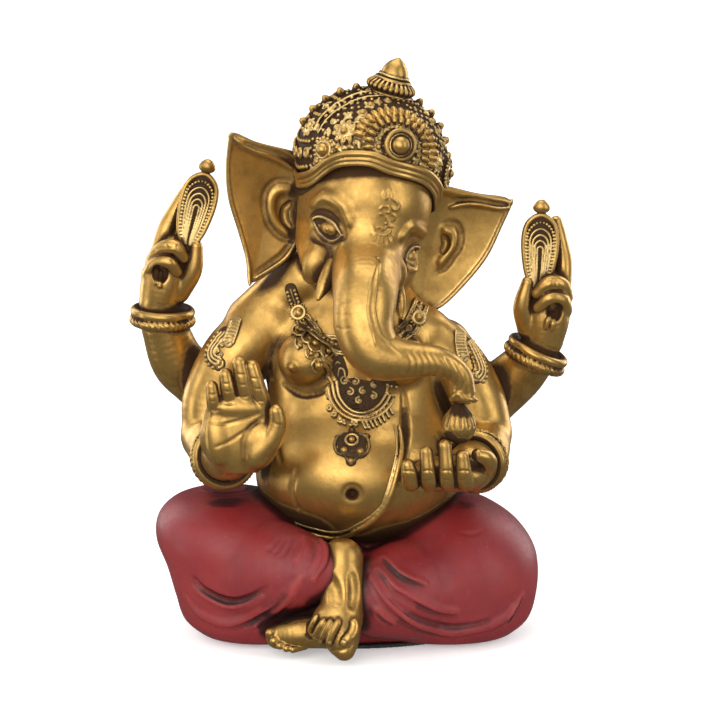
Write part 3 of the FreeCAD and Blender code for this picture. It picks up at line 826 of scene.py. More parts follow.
def forehead_relief(grid):
    """A low cluster on the brow: a drop, scrolls, a double crescent, short rays and one dot."""
    for spots, radius in (([(13.5, 154.3), (12.5, 152.6), (13.5, 150.9), (14.6, 152.6), (13.5, 154.3)], 0.24),
                          ([(15.6, 153.3), (15.6, 151.2), (17.3, 149.8), (18.0, 148.1), (16.6, 147.0),
                            (15.3, 148.1)], 0.30),
                          ([(11.4, 147.4), (12.5, 148.4), (14.2, 148.1), (14.6, 146.3), (13.2, 146.0),
                            (13.5, 144.3)], 0.24),
                          ([(15.6, 145.7), (16.6, 144.6), (15.6, 143.2)], 0.24),
                          ([(8.7, 141.5), (9.7, 140.5), (11.4, 141.1), (12.5, 140.1), (13.9, 141.5),
                            (15.6, 141.1)], 0.26),
                          ([(9.0, 139.8), (10.7, 138.7), (12.8, 138.4), (15.3, 139.8)], 0.32)):
        swell(grid, spots, radius, 0.25, 0.14, 0.7)
    for i in range(5):
        u, v = 12.3, 138.0
        lean = i - 2
        swell(grid, [(u + lean * 1.15, v + 0.1 * lean * lean),
                     (u + lean * 1.75, v - 2.5 + 0.25 * lean * lean)], 0.26,
              0.25, 0.12, 0.8)
    for spot, radius in (((10.7, 130.0), 0.8), ((13.5, 142.5), 0.45), ((11.8, 145.7), 0.4)):
        bead(grid, *touch(grid, spot), radius, 0.3, 0.15)


def trunk_detail(grid):
    face_detail(grid)
    for spots in ([(10.1, 128.3), (8.3, 122.8), (6.9, 115.8), (6.9, 109.6), (9.4, 100.2)],
                  [(11.1, 128.3), (10.1, 121.0), (9.4, 112.3), (11.8, 103.3), (19.4, 96.4)]):
        swell(grid, spots, 0.36, 0.6)
    for i in range(9):
        t = i / 8
        u, v = 21.1 + 18.7 * t, 92.9 - 4.9 * t * t
        carve(grid, [(u - 1.0, v + 5.2), (u + 1.0, v + 1.4), (u, v - 3.1)], 0.16, 0.7, 0.1)
    for v in (115.8, 111.0, 106.4):
        carve(grid, [(-3.5, v), (-1.7, v - 0.7), (1.0, v - 0.3)], 0.14, 0.7, 0.1)
    tip = np.array([38.6, -47.0, 90.0])
    grid.cut(tube([(38.4, -46.0, 88.0), (38.5, -46.4, 82.0)], [2.7, 3.6]), 0.8)
    swell(grid, [(33.3, 79.7), (35.4, 80.8), (38.5, 83.2), (41.6, 80.4), (44.7, 77.3)], 0.8, 0.8)
    grid.add(torus(tip + (0, 0, -1.5), (0.05, 0.2, 1), 3.9, 0.9), 0.8)


def open_hand_detail(grid):
    """Creases across the fingers, nails on their backs, and the lines of the palm."""
    for (x, z), (tx, tz), r in OPEN_FINGERS:
        for share, size in ((0.0, 0.34), (0.38, 0.26), (0.70, 0.26)):
            cx, cz = x + (tx - x) * share, z + (tz - z) * share + 0.3
            line, _ = grid.settle(np.array([(cx - r * 0.8, -46, cz - 0.1), (cx, -47, cz - 0.4),
                                            (cx + r * 0.8, -46, cz + 0.1)]), 0.1)
            grid.cut(tube(line, [size * 0.7, size * 1.15, size * 0.7]), 0.22)
        line, _ = grid.settle([(tx - r * 0.6, -36, tz - 2), (tx, -35, tz + 1.2), (tx + r * 0.6, -36, tz - 2)])
        grid.cut(tube(line, [0.2, 0.25, 0.2]), 0.3)
    carve(grid, [(-29.2, 74.9), (-33.7, 71.4), (-36.1, 66.5), (-35.4, 60.0)], 0.5, 1.0)
    carve(grid, [(-47.9, 72.8), (-42.3, 72.8), (-35.7, 74.5), (-30.9, 76.6)], 0.36, 0.8)
    carve(grid, [(-45.5, 64.8), (-40.6, 66.9), (-35.1, 70.7), (-31.2, 73.8)], 0.32, 0.8)
    carve(grid, [(-26.0, 73.8), (-24.3, 72.8), (-22.6, 72.4)], 0.26, 0.5)


def left_hand_detail(grid):
    """Creases across the curled fingers."""
    for x, _ in CURLED_FINGERS:
        for z in (61.5, 65.4):
            line, _ = grid.settle([(x - 3.0, -51.5, z), (x - 0.6, -53.5, z + 0.2), (x + 1.8, -51.5, z)], 0.1)
            grid.cut(tube(line, [0.18, 0.32, 0.18]), 0.25)


# the dark hollow in each raised hand, the fingertips in it, and the creases above it, from the front
HOLLOWS = {
    "right": ((-64.9, 125.2), ([(-66.1, 126.2), (-66.3, 121.7)], [(-64.2, 125.5), (-64.9, 120.7)]),
              ([(-68.0, 133.9), (-64.9, 135.9), (-60.7, 136.3)],
               [(-68.4, 131.8), (-64.9, 133.9), (-60.4, 133.9)])),
    "left": ((72.0, 112.0), ([(70.1, 111.0), (69.0, 106.4)], [(71.8, 111.0), (71.1, 105.8)]),
             ([(67.3, 120.7), (70.8, 123.1), (74.6, 122.1)], [(67.0, 118.6), (70.8, 120.3), (76.0, 118.9)])),
}


def rear_hand_detail(side):
    """A hand closed round the emblem's foot: the curled fingers frame a deep hollow."""
    spot, tips, creases = HOLLOWS[side]

    def detail(grid):
        p, n = touch(grid, spot)
        grid.cut(ellipsoid(p - n * 0.2, (2.7, 3.6, 3.4), axes_on(facing(n), (0, 0, 1))), 0.9)
        for tip in tips:
            swell(grid, tip, 0.95, 0.3, 0.2, 0.8)
        for crease in creases:
            carve(grid, crease, 0.3, 0.6)
        for dx, dz in ((-4.6, 17), (-1.5, 18.2), (1.8, 17.4)):
            x, y, z = rear_place(side, dx, -12, dz)
            line, _ = grid.settle(np.array([(x, y, z + 2.0), (x + 0.1, y - 1, z), (x, y, z - 2.0)]), 0.1)
            grid.cut(tube(line, [0.12, 0.24, 0.12]), 0.4)
    return detail


# ---- ears ------------------------------------------------------------------------------------------
EARS = {
    "right": [(16, 10), (20, 13.5), (28, 14.4), (39, 14.8), (50.5, 16.6), (48.5, 5), (44.5, -6), (38.5, -16),
              (33.5, -25), (31, -33), (23.5, -28), (17, -20), (14.5, -8)],
    "left": [(16, 10), (20, 13.5), (28, 14.4), (39, 14.8), (52, 16.1), (51, 5), (49, -6), (44, -17),
             (38, -26), (31, -31), (22, -24), (17, -8)],
}


def ear_sheet(x, z):
    """How far back the middle of the ear's thickness is, in the head's own axes."""
    inside = np.clip(1 - ((x - 22) / 60.0) ** 2 - ((z - 2) / 60.0) ** 2, 0.05, 1)
    return -25.3 + 36.0 * np.sqrt(inside)


def ear_field(name, side, grid):
    """The dished leaf of one ear: an outline in the head's own axes, carried on a curved sheet."""
    outline = smooth_path([(x, z, 0) for x, z in EARS[name] + EARS[name][:1]], 5)[:, :2]
    local = in_head(*grid.whole())
    out, up = local[0] * side, local[2]
    edge = np.full(out.shape, FAR, np.float32)
    inside = np.zeros(out.shape, bool)
    for (ax, az), (bx, bz) in zip(outline, np.roll(outline, -1, axis=0)):
        length2 = (bx - ax) ** 2 + (bz - az) ** 2
        if length2 < TINY:
            continue
        t = np.clip(((out - ax) * (bx - ax) + (up - az) * (bz - az)) / length2, 0, 1)
        edge = np.minimum(edge, (out - ax - t * (bx - ax)) ** 2 + (up - az - t * (bz - az)) ** 2)
        if abs(bz - az) > TINY:
            crosses = ((az > up) != (bz > up)) & (out < (bx - ax) * (up - az) / (bz - az) + ax)
            inside ^= crosses
    edge = np.sqrt(edge) * np.where(inside, -1, 1)
    thickness = 1.2 + 1.0 * np.clip((30 - out) / 12.0, 0, 1)
    skin = np.abs(local[1] - ear_sheet(out, up)) * 0.93 - thickness
    grid.field = np.minimum(grid.field, blend_cut(skin, edge + 0.4, 1.2)).astype(np.float32)


# each ear's rolls, hollows and inner lobe, as they show from the front
EAR_LINES = {
    "right": {
        "top": [1.0, 1.2, 1.2, 1.1, 0.4],
        "rolls": [([(-39.0, 172.0), (-35.7, 169.6), (-31.6, 167.5), (-27.4, 166.1), (-21.9, 163.4),
                    (-17.0, 159.5), (-15.3, 154.7)], 1.0),
                  ([(-31.9, 123.5), (-26.7, 126.6), (-21.9, 130.0), (-19.1, 133.5), (-17.4, 137.0)], 0.7)],
        "grooves": [([(-35.1, 170.3), (-30.9, 169.1), (-23.6, 167.0), (-17.0, 163.4)], 0.55),
                    ([(-20.1, 157.1), (-25.0, 157.1), (-28.5, 153.3), (-28.8, 147.4), (-27.1, 141.8),
                      (-23.3, 137.7), (-19.4, 136.3)], 0.65),
                    ([(-31.2, 125.5), (-27.1, 128.3), (-22.9, 131.4), (-20.5, 134.6)], 0.45)],
        "lobe": [(-20.5, 154.3), (-24.3, 153.6), (-26.4, 150.5), (-26.4, 146.3), (-24.6, 142.2),
                 (-21.2, 139.1)],
        "hole": [(-19.8, 149.5), (-21.7, 147.0), (-21.5, 143.6), (-19.8, 141.1)],
    },
    "left": {
        "top": [1.4, 1.6, 1.5, 1.2, 0.4],
        "rolls": [([(35.7, 148.1), (40.9, 149.3), (46.5, 149.1), (52.0, 148.1), (56.2, 147.9)], 0.9)],
        "grooves": [([(37.5, 150.5), (44.4, 150.9), (50.0, 149.8), (55.2, 149.0)], 0.7),
                    ([(34.3, 142.5), (38.2, 142.2), (39.5, 138.0), (38.8, 134.2), (36.8, 131.1),
                      (34.3, 127.3), (31.6, 125.5)], 0.8)],
        "lobe": [(34.3, 140.1), (36.8, 138.7), (36.8, 135.2), (35.0, 132.1), (32.6, 129.0)],
        "hole": [(33.6, 138.0), (34.3, 135.2), (33.3, 132.5)],
    },
}


def ear_detail(name, side):
    """A dished leaf with a double roll along its top, a C-shaped step and a deep hole beside the cheek."""
    lines = EAR_LINES[name]

    def on_ear(x, z, lift=0.0):
        return at_head(side * x, ear_sheet(x, z) - 1.2 - lift, z)

    def detail(grid):
        ear_field(name, side, grid)
        grid.add(tube([on_ear(x, z, 0.0) for x, z in EARS[name][4:10]], [0.4, 0.55, 0.65, 0.65, 0.6, 0.5]),
                 1.2)
        grid.add(tube([on_ear(x, z - 1.2, -0.4) for x, z in EARS[name][:5]], lines["top"]), 1.0)
        swell(grid, lines["lobe"], 1.0, 2.8, 0.0, 0.5)
        for spots, radius in lines["rolls"]:
            swell(grid, spots, radius, 0.9, 0.4, 0.25)
        for spots, radius in lines["grooves"]:
            carve(grid, spots, radius, 1.2, 0.2, 0.3)
        carve(grid, lines["hole"], 1.4, 0.6, 0.0, 0.5)
    return detail


def tusk_detail(side):
    def detail(grid):
        root, tip = at_head(side * 10.6, -21.5, -15), at_head(side * 14.6, -29.4, -25.4)
        bend = at_head(side * 13.0, -26.6, -20.5)
        grid.add(tube([root, bend, tip], [3.1, 2.6, 0.9]), 0.3)
    return detail


# ---- feet ------------------------------------------------------------------------------------------
# the five toes of the foot in front, big toe first, as lines that show from the front, with their radii
TOES = [([(2.1, 4.1), (1.7, 0.6), (-1.2, -3.2)], 2.0), ([(-3.0, 4.1), (-4.7, 0.6), (-5.9, -3.2)], 1.5),
        ([(-5.6, 4.1), (-7.3, 0.6), (-8.9, -2.7)], 1.4), ([(-7.8, 4.4), (-9.7, 1.3), (-10.9, -1.6)], 1.3),
        ([(-10.1, 5.8), (-11.6, 2.7), (-12.3, -0.1)], 1.2)]


def front_foot_detail(grid):
    """The foot that hangs in front: shin, instep, a sole that narrows downwards, and five short toes."""
    grid.add(tube([(-1.4, -38, 33), (-1.2, -42, 24), (-1.6, -45, 16)], [7.0, 7.2, 7.4]), 0.5)
    grid.add(tube([(-2.6, -46, 14), (-1.6, -49, 8.6), (-0.7, -51.6, 5.0)], [7.8, 6.0, 3.6]), 1.5)
    grid.add(ellipsoid((-6.4, -47.4, 13.2), (5.4, 5.0, 5.8), turn("y", 25)), 2.0)
    for spots in ([(-5.9, 19.4), (-4.2, 15.5), (-3.1, 10.7)], [(1.7, 20.4), (2.4, 15.2), (1.7, 9.6)]):
        carve(grid, spots, 1.6, 2.4, 0.8)
    for spots, radius in TOES:
        swell(grid, spots, radius, 0.3, 0.5, 0.75)
    for (spots, _), (others, _) in zip(TOES, TOES[1:]):
        between = [((u + s) / 2, (v + t) / 2) for (u, v), (s, t) in zip(spots, others)]
        carve(grid, between, 0.26, 0.2, 0.3)
    for spots, radius in TOES:
        (u, v), tip = spots[1], spots[2]
        carve(grid, [(u - 0.9, v - 0.6), (u + 0.2, v - 1.4), (u + 1.2, v - 0.9)], 0.2, 0.25)
        p, n = touch(grid, tip)
        grid.add(ellipsoid(p + n * 0.1, (radius * 0.5, radius * 0.6, 0.3), axes_on(n, (0, 0, -1))), 0.1)
    carve(grid, [(-12.5, -1.5), (-10.1, -3.5), (-6.3, -4.9), (-1.7, -5.6), (2.1, -3.5)], 0.5, 0.5, 0.2)
    on_pad(grid)


def tucked_foot_detail(grid):
    """The foot that lies on its side beneath the right knee, its toes to the figure's right."""
    grid.add(tube([(-6, -37, 8.0), (-15, -40, 8.0), (-23, -38.5, 6.4)], [6.0, 5.3, 4.3]), 0.5)
    for x, y, z, r in ((-25.6, -41.2, 8.2, 1.8), (-24.4, -42.6, 5.8, 1.5), (-22.4, -43.6, 4.4, 1.3),
                       (-20.2, -44.2, 3.6, 1.2), (-18.0, -44.4, 3.2, 1.1)):
        grid.add(tube([(x + 4.2, y + 2.2, z + 0.6), (x, y, z)], [r, r]), 0.25)
    carve(grid, [(-26.7, 3.4), (-21.9, 4.1), (-16.7, 5.5)], 0.8, 1.2)
    on_pad(grid)


# ---- cloth -----------------------------------------------------------------------------------------
def fold(grid, spots, radius, k=2.4):
    """A soft pleat: a raised roll with a valley along its lower side."""
    line, normals = cast(grid, spots)
    r = tapered(len(line), radius, 0.25)
    grid.add(polyline(line - normals * radius * 0.25, r), k)
    down = np.array([0, 0, -1.0])
    side = unit(down - normals * (normals @ down)[:, None])
    grid.cut(polyline(line + side * radius * 1.25 + normals * radius * 0.55, r * 0.62), k * 0.45)


def right_leg_detail(grid):
    carve(grid, [(-53.4, 19.7), (-50.0, 15.5), (-44.4, 12.1), (-38.5, 11.0), (-32.6, 12.8), (-27.8, 16.2)],
          1.9, 1.0, 0.4)
    fold(grid, [(-53.1, 15.9), (-48.6, 12.4), (-41.6, 9.3), (-34.7, 10.3), (-29.2, 13.5)], 1.1, 1.4)
    fold(grid, [(-55.9, 12.8), (-51.4, 7.2), (-45.5, 4.1), (-40.3, 3.4), (-33.0, 6.2), (-25.0, 11.0),
                (-18.4, 18.0)], 1.5, 1.6)
    swell(grid, [(-31.9, 3.1), (-25.0, 7.6), (-19.4, 13.1), (-16.0, 19.7)], 0.7, 1.6)
    carve(grid, [(-29.5, 8.3), (-23.6, 12.4), (-18.7, 19.0)], 0.5, 1.4)
    cuff = [(-9.4, 32.2), (-7.6, 29.1), (-8.3, 24.2), (-11.5, 19.0)]
    swell(grid, cuff, 1.2, 0.8, 0.2, 0.7)
    carve(grid, [(-11.8, 32.2), (-11.5, 28.7), (-12.8, 24.9), (-14.9, 21.1)], 0.7, 0.7)
    swell(grid, [(-14.6, 33.6), (-15.3, 29.4), (-17.7, 24.9)], 1.0, 1.8)
    for shift in (0, 7, 15):
        low, high = (-18.7, 33.2), (-22.9, 26.6)
        carve(grid, [(low[0] - 0.35 * shift, low[1] - 0.05 * shift),
                     ((low[0] + high[0]) / 2 - 0.4 * shift, (low[1] + high[1]) / 2 - 0.9),
                     (high[0] - 0.3 * shift, high[1] + 0.2 * shift)], 0.35, 1.4)
    side_folds(grid, -1)
    on_pad(grid)


def left_leg_detail(grid):
    fold(grid, [(8.3, 19.4), (12.1, 12.8), (17.0, 7.9), (22.9, 3.8), (29.1, 1.7), (36.4, 0.3), (43.7, 1.3),
                (50.0, 2.7), (55.2, 5.8), (57.9, 9.3)], 1.6)
    carve(grid, [(14.6, 12.4), (19.1, 8.6), (23.9, 5.5), (29.8, 3.6), (36.4, 2.4), (43.7, 3.1), (49.6, 4.8)],
          0.7, 1.2)
    fold(grid, [(10.7, 22.8), (15.6, 16.6), (19.4, 14.2), (25.0, 11.0), (31.6, 8.3), (37.8, 7.6)], 1.2)
    fold(grid, [(12.5, 26.6), (17.0, 21.8), (20.8, 19.4), (26.7, 17.3)], 0.9)
    fold(grid, [(10.1, 8.3), (12.5, 5.8), (15.9, 3.8)], 0.9)
    fold(grid, [(60.7, 13.5), (57.9, 7.9), (55.8, 4.4)], 0.6)
    carve(grid, [(38.8, 35.0), (43.7, 34.6), (47.5, 36.0)], 0.6, 1.0)
    side_folds(grid, 1)
    on_pad(grid)


def side_folds(grid, side):
    """Drapes round the outer side and the back of a knee."""
    for i, z in enumerate((10, 17, 25)):
        line = [(side * 63, 7, z + 3), (side * 60, 13, z + 4 + i), (side * 53, 20, z + 5),
                (side * 44, 27, z + 5)]
        grid.ridge(line, 0.9 - 0.15 * i, 1.6, -0.2)
        grid.groove([(x, y, h - 2.4) for x, y, h in line], 0.8, 1.2, 0.3)


def seat_detail(grid):
    fold(grid, [(1.7, 33.9), (5.2, 30.8), (9.4, 30.5), (14.2, 33.9)], 1.1, 1.4)
    fold(grid, [(-0.7, 29.8), (4.5, 25.6), (10.1, 25.6), (15.6, 28.4)], 1.0, 1.4)
    for i, z in enumerate((9, 16, 24, 33)):
        grid.groove([(-42, 24, z + 3), (-22, 38, z), (0, 44, z - 1.5), (22, 38, z), (42, 24, z + 3)],
                    1.1 - 0.12 * i, 2.0)
    on_pad(grid)


def pad_detail(grid):
    def distance(x, y, z):
        return np.maximum((np.sqrt((x / 46.0) ** 2 + ((y - PAD_BACK) / 33.0) ** 2) - 1) * 33.0,
                          np.maximum(-z, z - PAD_TOP))
    grid.add(Shape([-46, PAD_BACK - 33, 0], [46, PAD_BACK + 33, PAD_TOP], distance), 0.1, reach=3)


# ---- crown -----------------------------------------------------------------------------------------
CROWN_RADII = np.array([25.6, 26.0, 22.6])
CROWN_CENTRE = np.array([-1.5, 2.0, 20.0])
MEAN_RADIUS = 24.0
UP_HEAD = HEAD_TURN @ np.array([0, 0, 1.0])
# the crown's lower edge, as degrees round from the front and degrees up from the crown's middle
RIM = [(-180, -26), (-130, -33), (-94, -45), (-72, -40), (-58, -30), (-46, -15), (-38, -7), (-29, -2),
       (-15, 2), (0, 0), (17, -1), (34, -5), (53, -17), (66, -30), (94, -42), (130, -32), (180, -26)]


def rim_climb(azimuth):
    """How far up the edge is at an azimuth, in radians."""
    table = np.radians(np.array(RIM, float))
    fine = smooth_path([(a, c, 0) for a, c in table], 8)
    return np.interp(azimuth, fine[:, 0], fine[:, 1])


def crown_spot(azimuth, climb, out=0.0):
    """A point of the crown's plain surface."""
    way = np.array([math.cos(climb) * math.sin(azimuth), -math.cos(climb) * math.cos(azimuth),
                    math.sin(climb)])
    return at_head(*(CROWN_CENTRE + (CROWN_RADII + out) * way))


def crown_ring(share, count=120):
    """A closed line round the crown. share is 0 along the edge and 1 at the top."""
    out = []
    for a in np.linspace(-math.pi, math.pi, count + 1):
        rim = rim_climb(a)
        out.append(crown_spot(a, rim + share * (math.pi / 2 - rim)))
    return np.array(out)


def above_rim(grid, shift=0.0):
    """Keeps what lies above the crown's edge."""
    x, y, z = [(a - c) / r for a, c, r in zip(in_head(*grid.whole()), CROWN_CENTRE, CROWN_RADII)]
    climb = np.arctan2(z, np.sqrt(x ** 2 + y ** 2))
    under = (rim_climb(np.arctan2(x, -y)) - climb) * MEAN_RADIUS + shift
    grid.field = blend_cut(grid.field, under.astype(np.float32), 0.3).astype(np.float32)


def crown_base(grid, extra=0.0):
    """The crown's plain dome, which closes on the skull."""
    grid.add(head_ellipsoid(-1.5, 2, 20, CROWN_RADII + extra), 0.1, reach=3)
    grid.add(head_ellipsoid(0, 0, 3, np.array([22.9, 24.9, 27.4]) + extra), 3.0, reach=3)


def ring_on_crown(grid, share):
    return grid.settle(crown_ring(share))


def along_line(line, normals, gap, start=0.5):
    """Even stations along a line: point and normal of each."""
    run = lengths(line)
    count = max(int(run[-1] / gap), 1)
    for i in range(count):
        d = run[-1] * (i + start) / count
        yield at_length(d, run, line), unit(at_length(d, run, normals))


def ringed_bead(grid, point, normal, radius):
    """A ball in a fine collar."""
    grid.add(torus(point + normal * radius * 0.15, normal, radius * 1.12, radius * 0.3), 0.12)
    bead(grid, point, normal, radius * 0.86, 0.5, 0.1)


def crown_front(point):
    """True where the crown's own pattern gives way to the fan and what stands beside it."""
    d = HEAD_TURN.T @ (point - HEAD_CENTRE) - CROWN_CENTRE
    azimuth = math.degrees(math.atan2(d[0], -d[1]))
    return -68 < azimuth < 72 and d[2] < CROWN_RADII[2] * 0.9


def crown_dome_detail(grid):
    """Rows of arches, scrolls, rosettes and beads that climb the crown's sides and back."""
    crown_base(grid)
    grid.as_ground(keep=True)
    rows = [(0.165, "bead", 0.95), (0.25, "arch", 3.6), (0.335, "bead", 0.8), (0.43, "flower", 3.5),
            (0.525, "bead", 0.8), (0.60, "curl", 2.5), (0.675, "bead", 0.9), (0.75, "arch", 2.7),
            (0.82, "bead", 0.8), (0.87, "curl", 1.7)]
    for share, kind, size in rows:
        line, normals = ring_on_crown(grid, share)
        gap = {"bead": 2.3, "arch": 1.2, "flower": 2.6, "curl": 2.05}[kind] * size
        for i, (p, n) in enumerate(along_line(line, normals, gap)):
            if crown_front(p):
                continue
            side = unit(np.cross(UP_HEAD, n))
            if kind == "bead":
                bead(grid, p, n, size, 0.4, 0.15)
            elif kind == "arch":
                petal(grid, p - UP_HEAD * size * 0.45, n, UP_HEAD, size * 1.15, size * 0.95, 1.2, 0.15, 0.6,
                      0.4)
                bead(grid, p, n, size * 0.2, 0.6)
            elif kind == "flower":
                flower(grid, p, n, size, 8, UP_HEAD, 0.3, 1.0)
                for way in (-1, 1):
                    q, m = grid.settle([p + side * way * gap * 0.5 + UP_HEAD * way * 1.4])
                    curl(grid, q[0], m[0], UP_HEAD, size * 0.36, 1.0, 0.45, way)
            else:
                curl(grid, p, n, UP_HEAD, size * 0.78, 1.15, 0.5, 1 if i % 2 else -1)
                bead(grid, p + side * size * 0.98, n, 0.6, 0.5)
    crown_front_detail(grid)
    above_rim(grid)


def crown_front_detail(grid):
    """Beside the fan: a double ridge, fine granules, a flower, ringed beads and scrolls."""
    for i, share in enumerate(np.arange(0.165, 0.80, 0.062)):
        line, normals = ring_on_crown(grid, share)
        for j, (p, n) in enumerate(along_line(line, normals, 2.3, 0.25 + 0.5 * (i % 2))):
            if not crown_front(p):
                continue
            if (i + j) % 3:
                curl(grid, p, n, UP_HEAD if j % 2 else -UP_HEAD, 0.85, 1.0, 0.33, 1 if i % 2 else -1)
            else:
                bead(grid, p, n, 0.66, 0.45, 0.12)
    for spots, radius in (([(-10.8, 174.5), (-8.0, 179.3), (-2.4, 183.8), (4.8, 186.9), (12.8, 188.0)], 0.5),
                          ([(-9.4, 173.4), (-6.6, 177.9), (-1.4, 182.1), (5.5, 185.2), (13.5, 186.2)], 0.4)):
        swell(grid, spots, radius, 0.15, 0.75, 0.8)
    middle, n = touch(grid, (-0.7, 174.1))
    flower(grid, middle, n, 4.3, 9, UP_HEAD, 0.3, 1.25)
    m = axes_on(n, UP_HEAD)
    for i in range(8):
        way = spin(m, 2 * math.pi * (i + 0.5) / 8)
        q, k = grid.settle([middle + way * 6.1])
        curl(grid, q[0], k[0], way, 1.35, 1.0, 0.5, 1 if i % 2 else -1)
    for spot, radius in (((-9.7, 164.0), 1.5), ((-11.5, 160.9), 1.2), ((-12.5, 158.5), 1.0),
                         ((-13.2, 156.4), 0.85), ((5.5, 180.4), 1.25), ((8.0, 183.1), 1.2),
                         ((10.7, 184.2), 1.1), ((13.9, 184.5), 1.1), ((4.8, 176.2), 1.0),
                         ((-3.1, 168.6), 1.0), ((1.0, 168.9), 0.9), ((28.8, 177.6), 1.2),
                         ((30.9, 173.8), 1.2), ((32.6, 169.6), 1.2), ((31.6, 154.0), 1.2),
                         ((31.9, 150.9), 1.05), ((32.3, 148.1), 0.9)):
        ringed_bead(grid, *touch(grid, spot), radius)
    for spot in ((8.0, 187.6), (10.7, 188.3), (13.5, 188.7), (16.3, 188.7)):
        bead(grid, *touch(grid, spot), 1.05, 0.4, 0.1)
    for spot, radius, thick, hand in (((20.1, 185.6), 3.3, 0.85, 1), ((25.0, 183.8), 2.2, 0.6, 1),
                                      ((27.1, 180.7), 1.8, 0.55, 1), ((-4.9, 181.0), 1.3, 0.45, -1),
                                      ((1.7, 183.8), 1.3, 0.45, -1)):
        p, n = touch(grid, spot)
        curl(grid, p, n, UP_HEAD, radius, 1.1, thick, hand)
        bead(grid, p, n, radius * 0.3, 0.6, 0.1)
    flower(grid, *touch(grid, (31.2, 163.0)), 3.2, 8, UP_HEAD, 0.32, 1.1)


def crown_rim_detail(grid):
    """A moulded edge of three rolls with hollows between them, dipping under the medallion."""
    crown_base(grid, 0.2)
    grid.as_ground()
    for share, radius, lift in ((0.018, 0.8, 0.6), (0.060, 0.85, 0.75), (0.110, 1.2, 1.0),
                                (0.038, 0.85, -0.35), (0.085, 0.95, -0.3)):
        line, _ = grid.settle(crown_ring(share), lift)
        grid.add(polyline(line, np.full(len(line), radius)), 0.25)


def crown_plate_detail(grid):
    """The fan: two rows of long petals round the medallion, with ringed beads inside them."""
    crown_base(grid)
    grid.as_ground()
    middle, n = grid.settle([at_head(0.3, -24, 29.6)])
    middle, n = middle[0], n[0]
    m = axes_on(n, UP_HEAD)

    def spoke(angle, reach):
        q, k = grid.settle([middle + spin(m, angle) * reach])
        return q[0], k[0]

    for i in range(11):
        p, k = spoke(math.radians(-122 + 244 * i / 10), 7.1)
        ringed_bead(grid, p, k, 1.15)
    for inner, outer, count, width, low, high in ((8.5, 12.4, 17, 1.85, -112, 112),
                                                  (12.5, 16.9, 19, 2.25, -78, 100)):
        for i in range(count):
            a = math.radians(low + (high - low) * i / (count - 1))
            root, rn = spoke(a, inner)
            tip, tn = spoke(a, outer)
            petal(grid, root, rn, unit(tip - root), outer - inner, width, 1.5, 0.1, 0.0, 0.45)
            bead(grid, tip, tn, 0.8, 0.7, 0.1)
    skin = np.abs(grid.base - 0.05) - 0.35
    x, y, z = [a - c for a, c in zip(grid.whole(), middle)]
    gap = np.sqrt(x ** 2 + y ** 2 + z ** 2)
    height = x * m[0, 1] + y * m[1, 1] + z * m[2, 1]
    ground = np.maximum(skin, np.maximum(gap - 15.6, -height - 7.0))
    grid.field = blend(grid.field, ground.astype(np.float32), 0.2)
    above_rim(grid, 4.6)


def boss_detail(grid):
    """A large ball in a collar, ringed with beads, low on the crown's right side."""
    crown_base(grid)
    grid.as_ground()
    p, n = touch(grid, (-7.6, 167.9))
    grid.add(ellipsoid(p, (4.3, 4.3, 0.9), axes_on(n, UP_HEAD)), 0.2)
    grid.add(torus(p + n * 0.8, n, 2.75, 0.5), 0.1)
    grid.add(ball(p + n * 1.3, 2.15), 0.1)
    bead_ring(grid, p + n * 0.5, n, 3.9, 0.62, 1.6, 0.3)


def medallion_detail(grid):
    """A ball in two collars and a ring of beads, at the middle of the fan."""
    root = at_head(0.1, -21.2, 29.7)
    n = unit(HEAD_TURN @ np.array([0, -1, 0.2]))
    root = root - n * 0.6
    for radius, out, thick in ((4.75, 2.6, 0.85), (3.55, 2.9, 0.3)):
        grid.add(torus(root + n * out, n, radius, thick), 0.2)
    grid.add(ellipsoid(root + n * 1.1, (4.9, 4.9, 2.0), axes_on(n, UP_HEAD)), 0.4)
    grid.add(ellipsoid(root + n * 2.9, (3.05, 3.05, 2.9), axes_on(n, UP_HEAD)), 0.2)
    bead_ring(grid, root + n * 1.9, n, 5.0, 0.42, 0.95, 0.4)


def rosette_detail(root, way, radius, height):
    """A round flower on the crown's side, with a ball in a collar."""
    def detail(grid):
        p = np.asarray(root, float)
        grid.add(ellipsoid(p + way * 0.3, (radius * 0.92, radius * 0.92, height * 0.7),
                           axes_on(way, UP_HEAD)), 0.3)
        bead_ring(grid, p + way * height * 0.7, way, radius * 0.9, radius * 0.12, radius * 0.27, 0.3)
        flower(grid, p + way * height * 0.62, way, radius * 0.84, 8, UP_HEAD, 0.34, height * 0.4)
    return detail


def crown_surface(angle, height, out=0.0):
    """A point of the crown's surface. angle 0 is the front, height is from the crown's middle."""
    x, y, z = CROWN_CENTRE
    reach = math.sqrt(1 - (height / CROWN_RADII[2]) ** 2)
    a = math.radians(angle)
    return at_head(x + (CROWN_RADII[0] * reach + out) * math.sin(a),
                   y - (CROWN_RADII[1] * reach + out) * math.cos(a), z + height)


def crown_rosette(angle, height=-2.0):
    a = math.radians(angle)
    way = unit(HEAD_TURN @ np.array([math.sin(a), -math.cos(a), 0.15]))
    return rosette_detail(crown_surface(angle, height, -0.6), way, 5.2, 2.6)


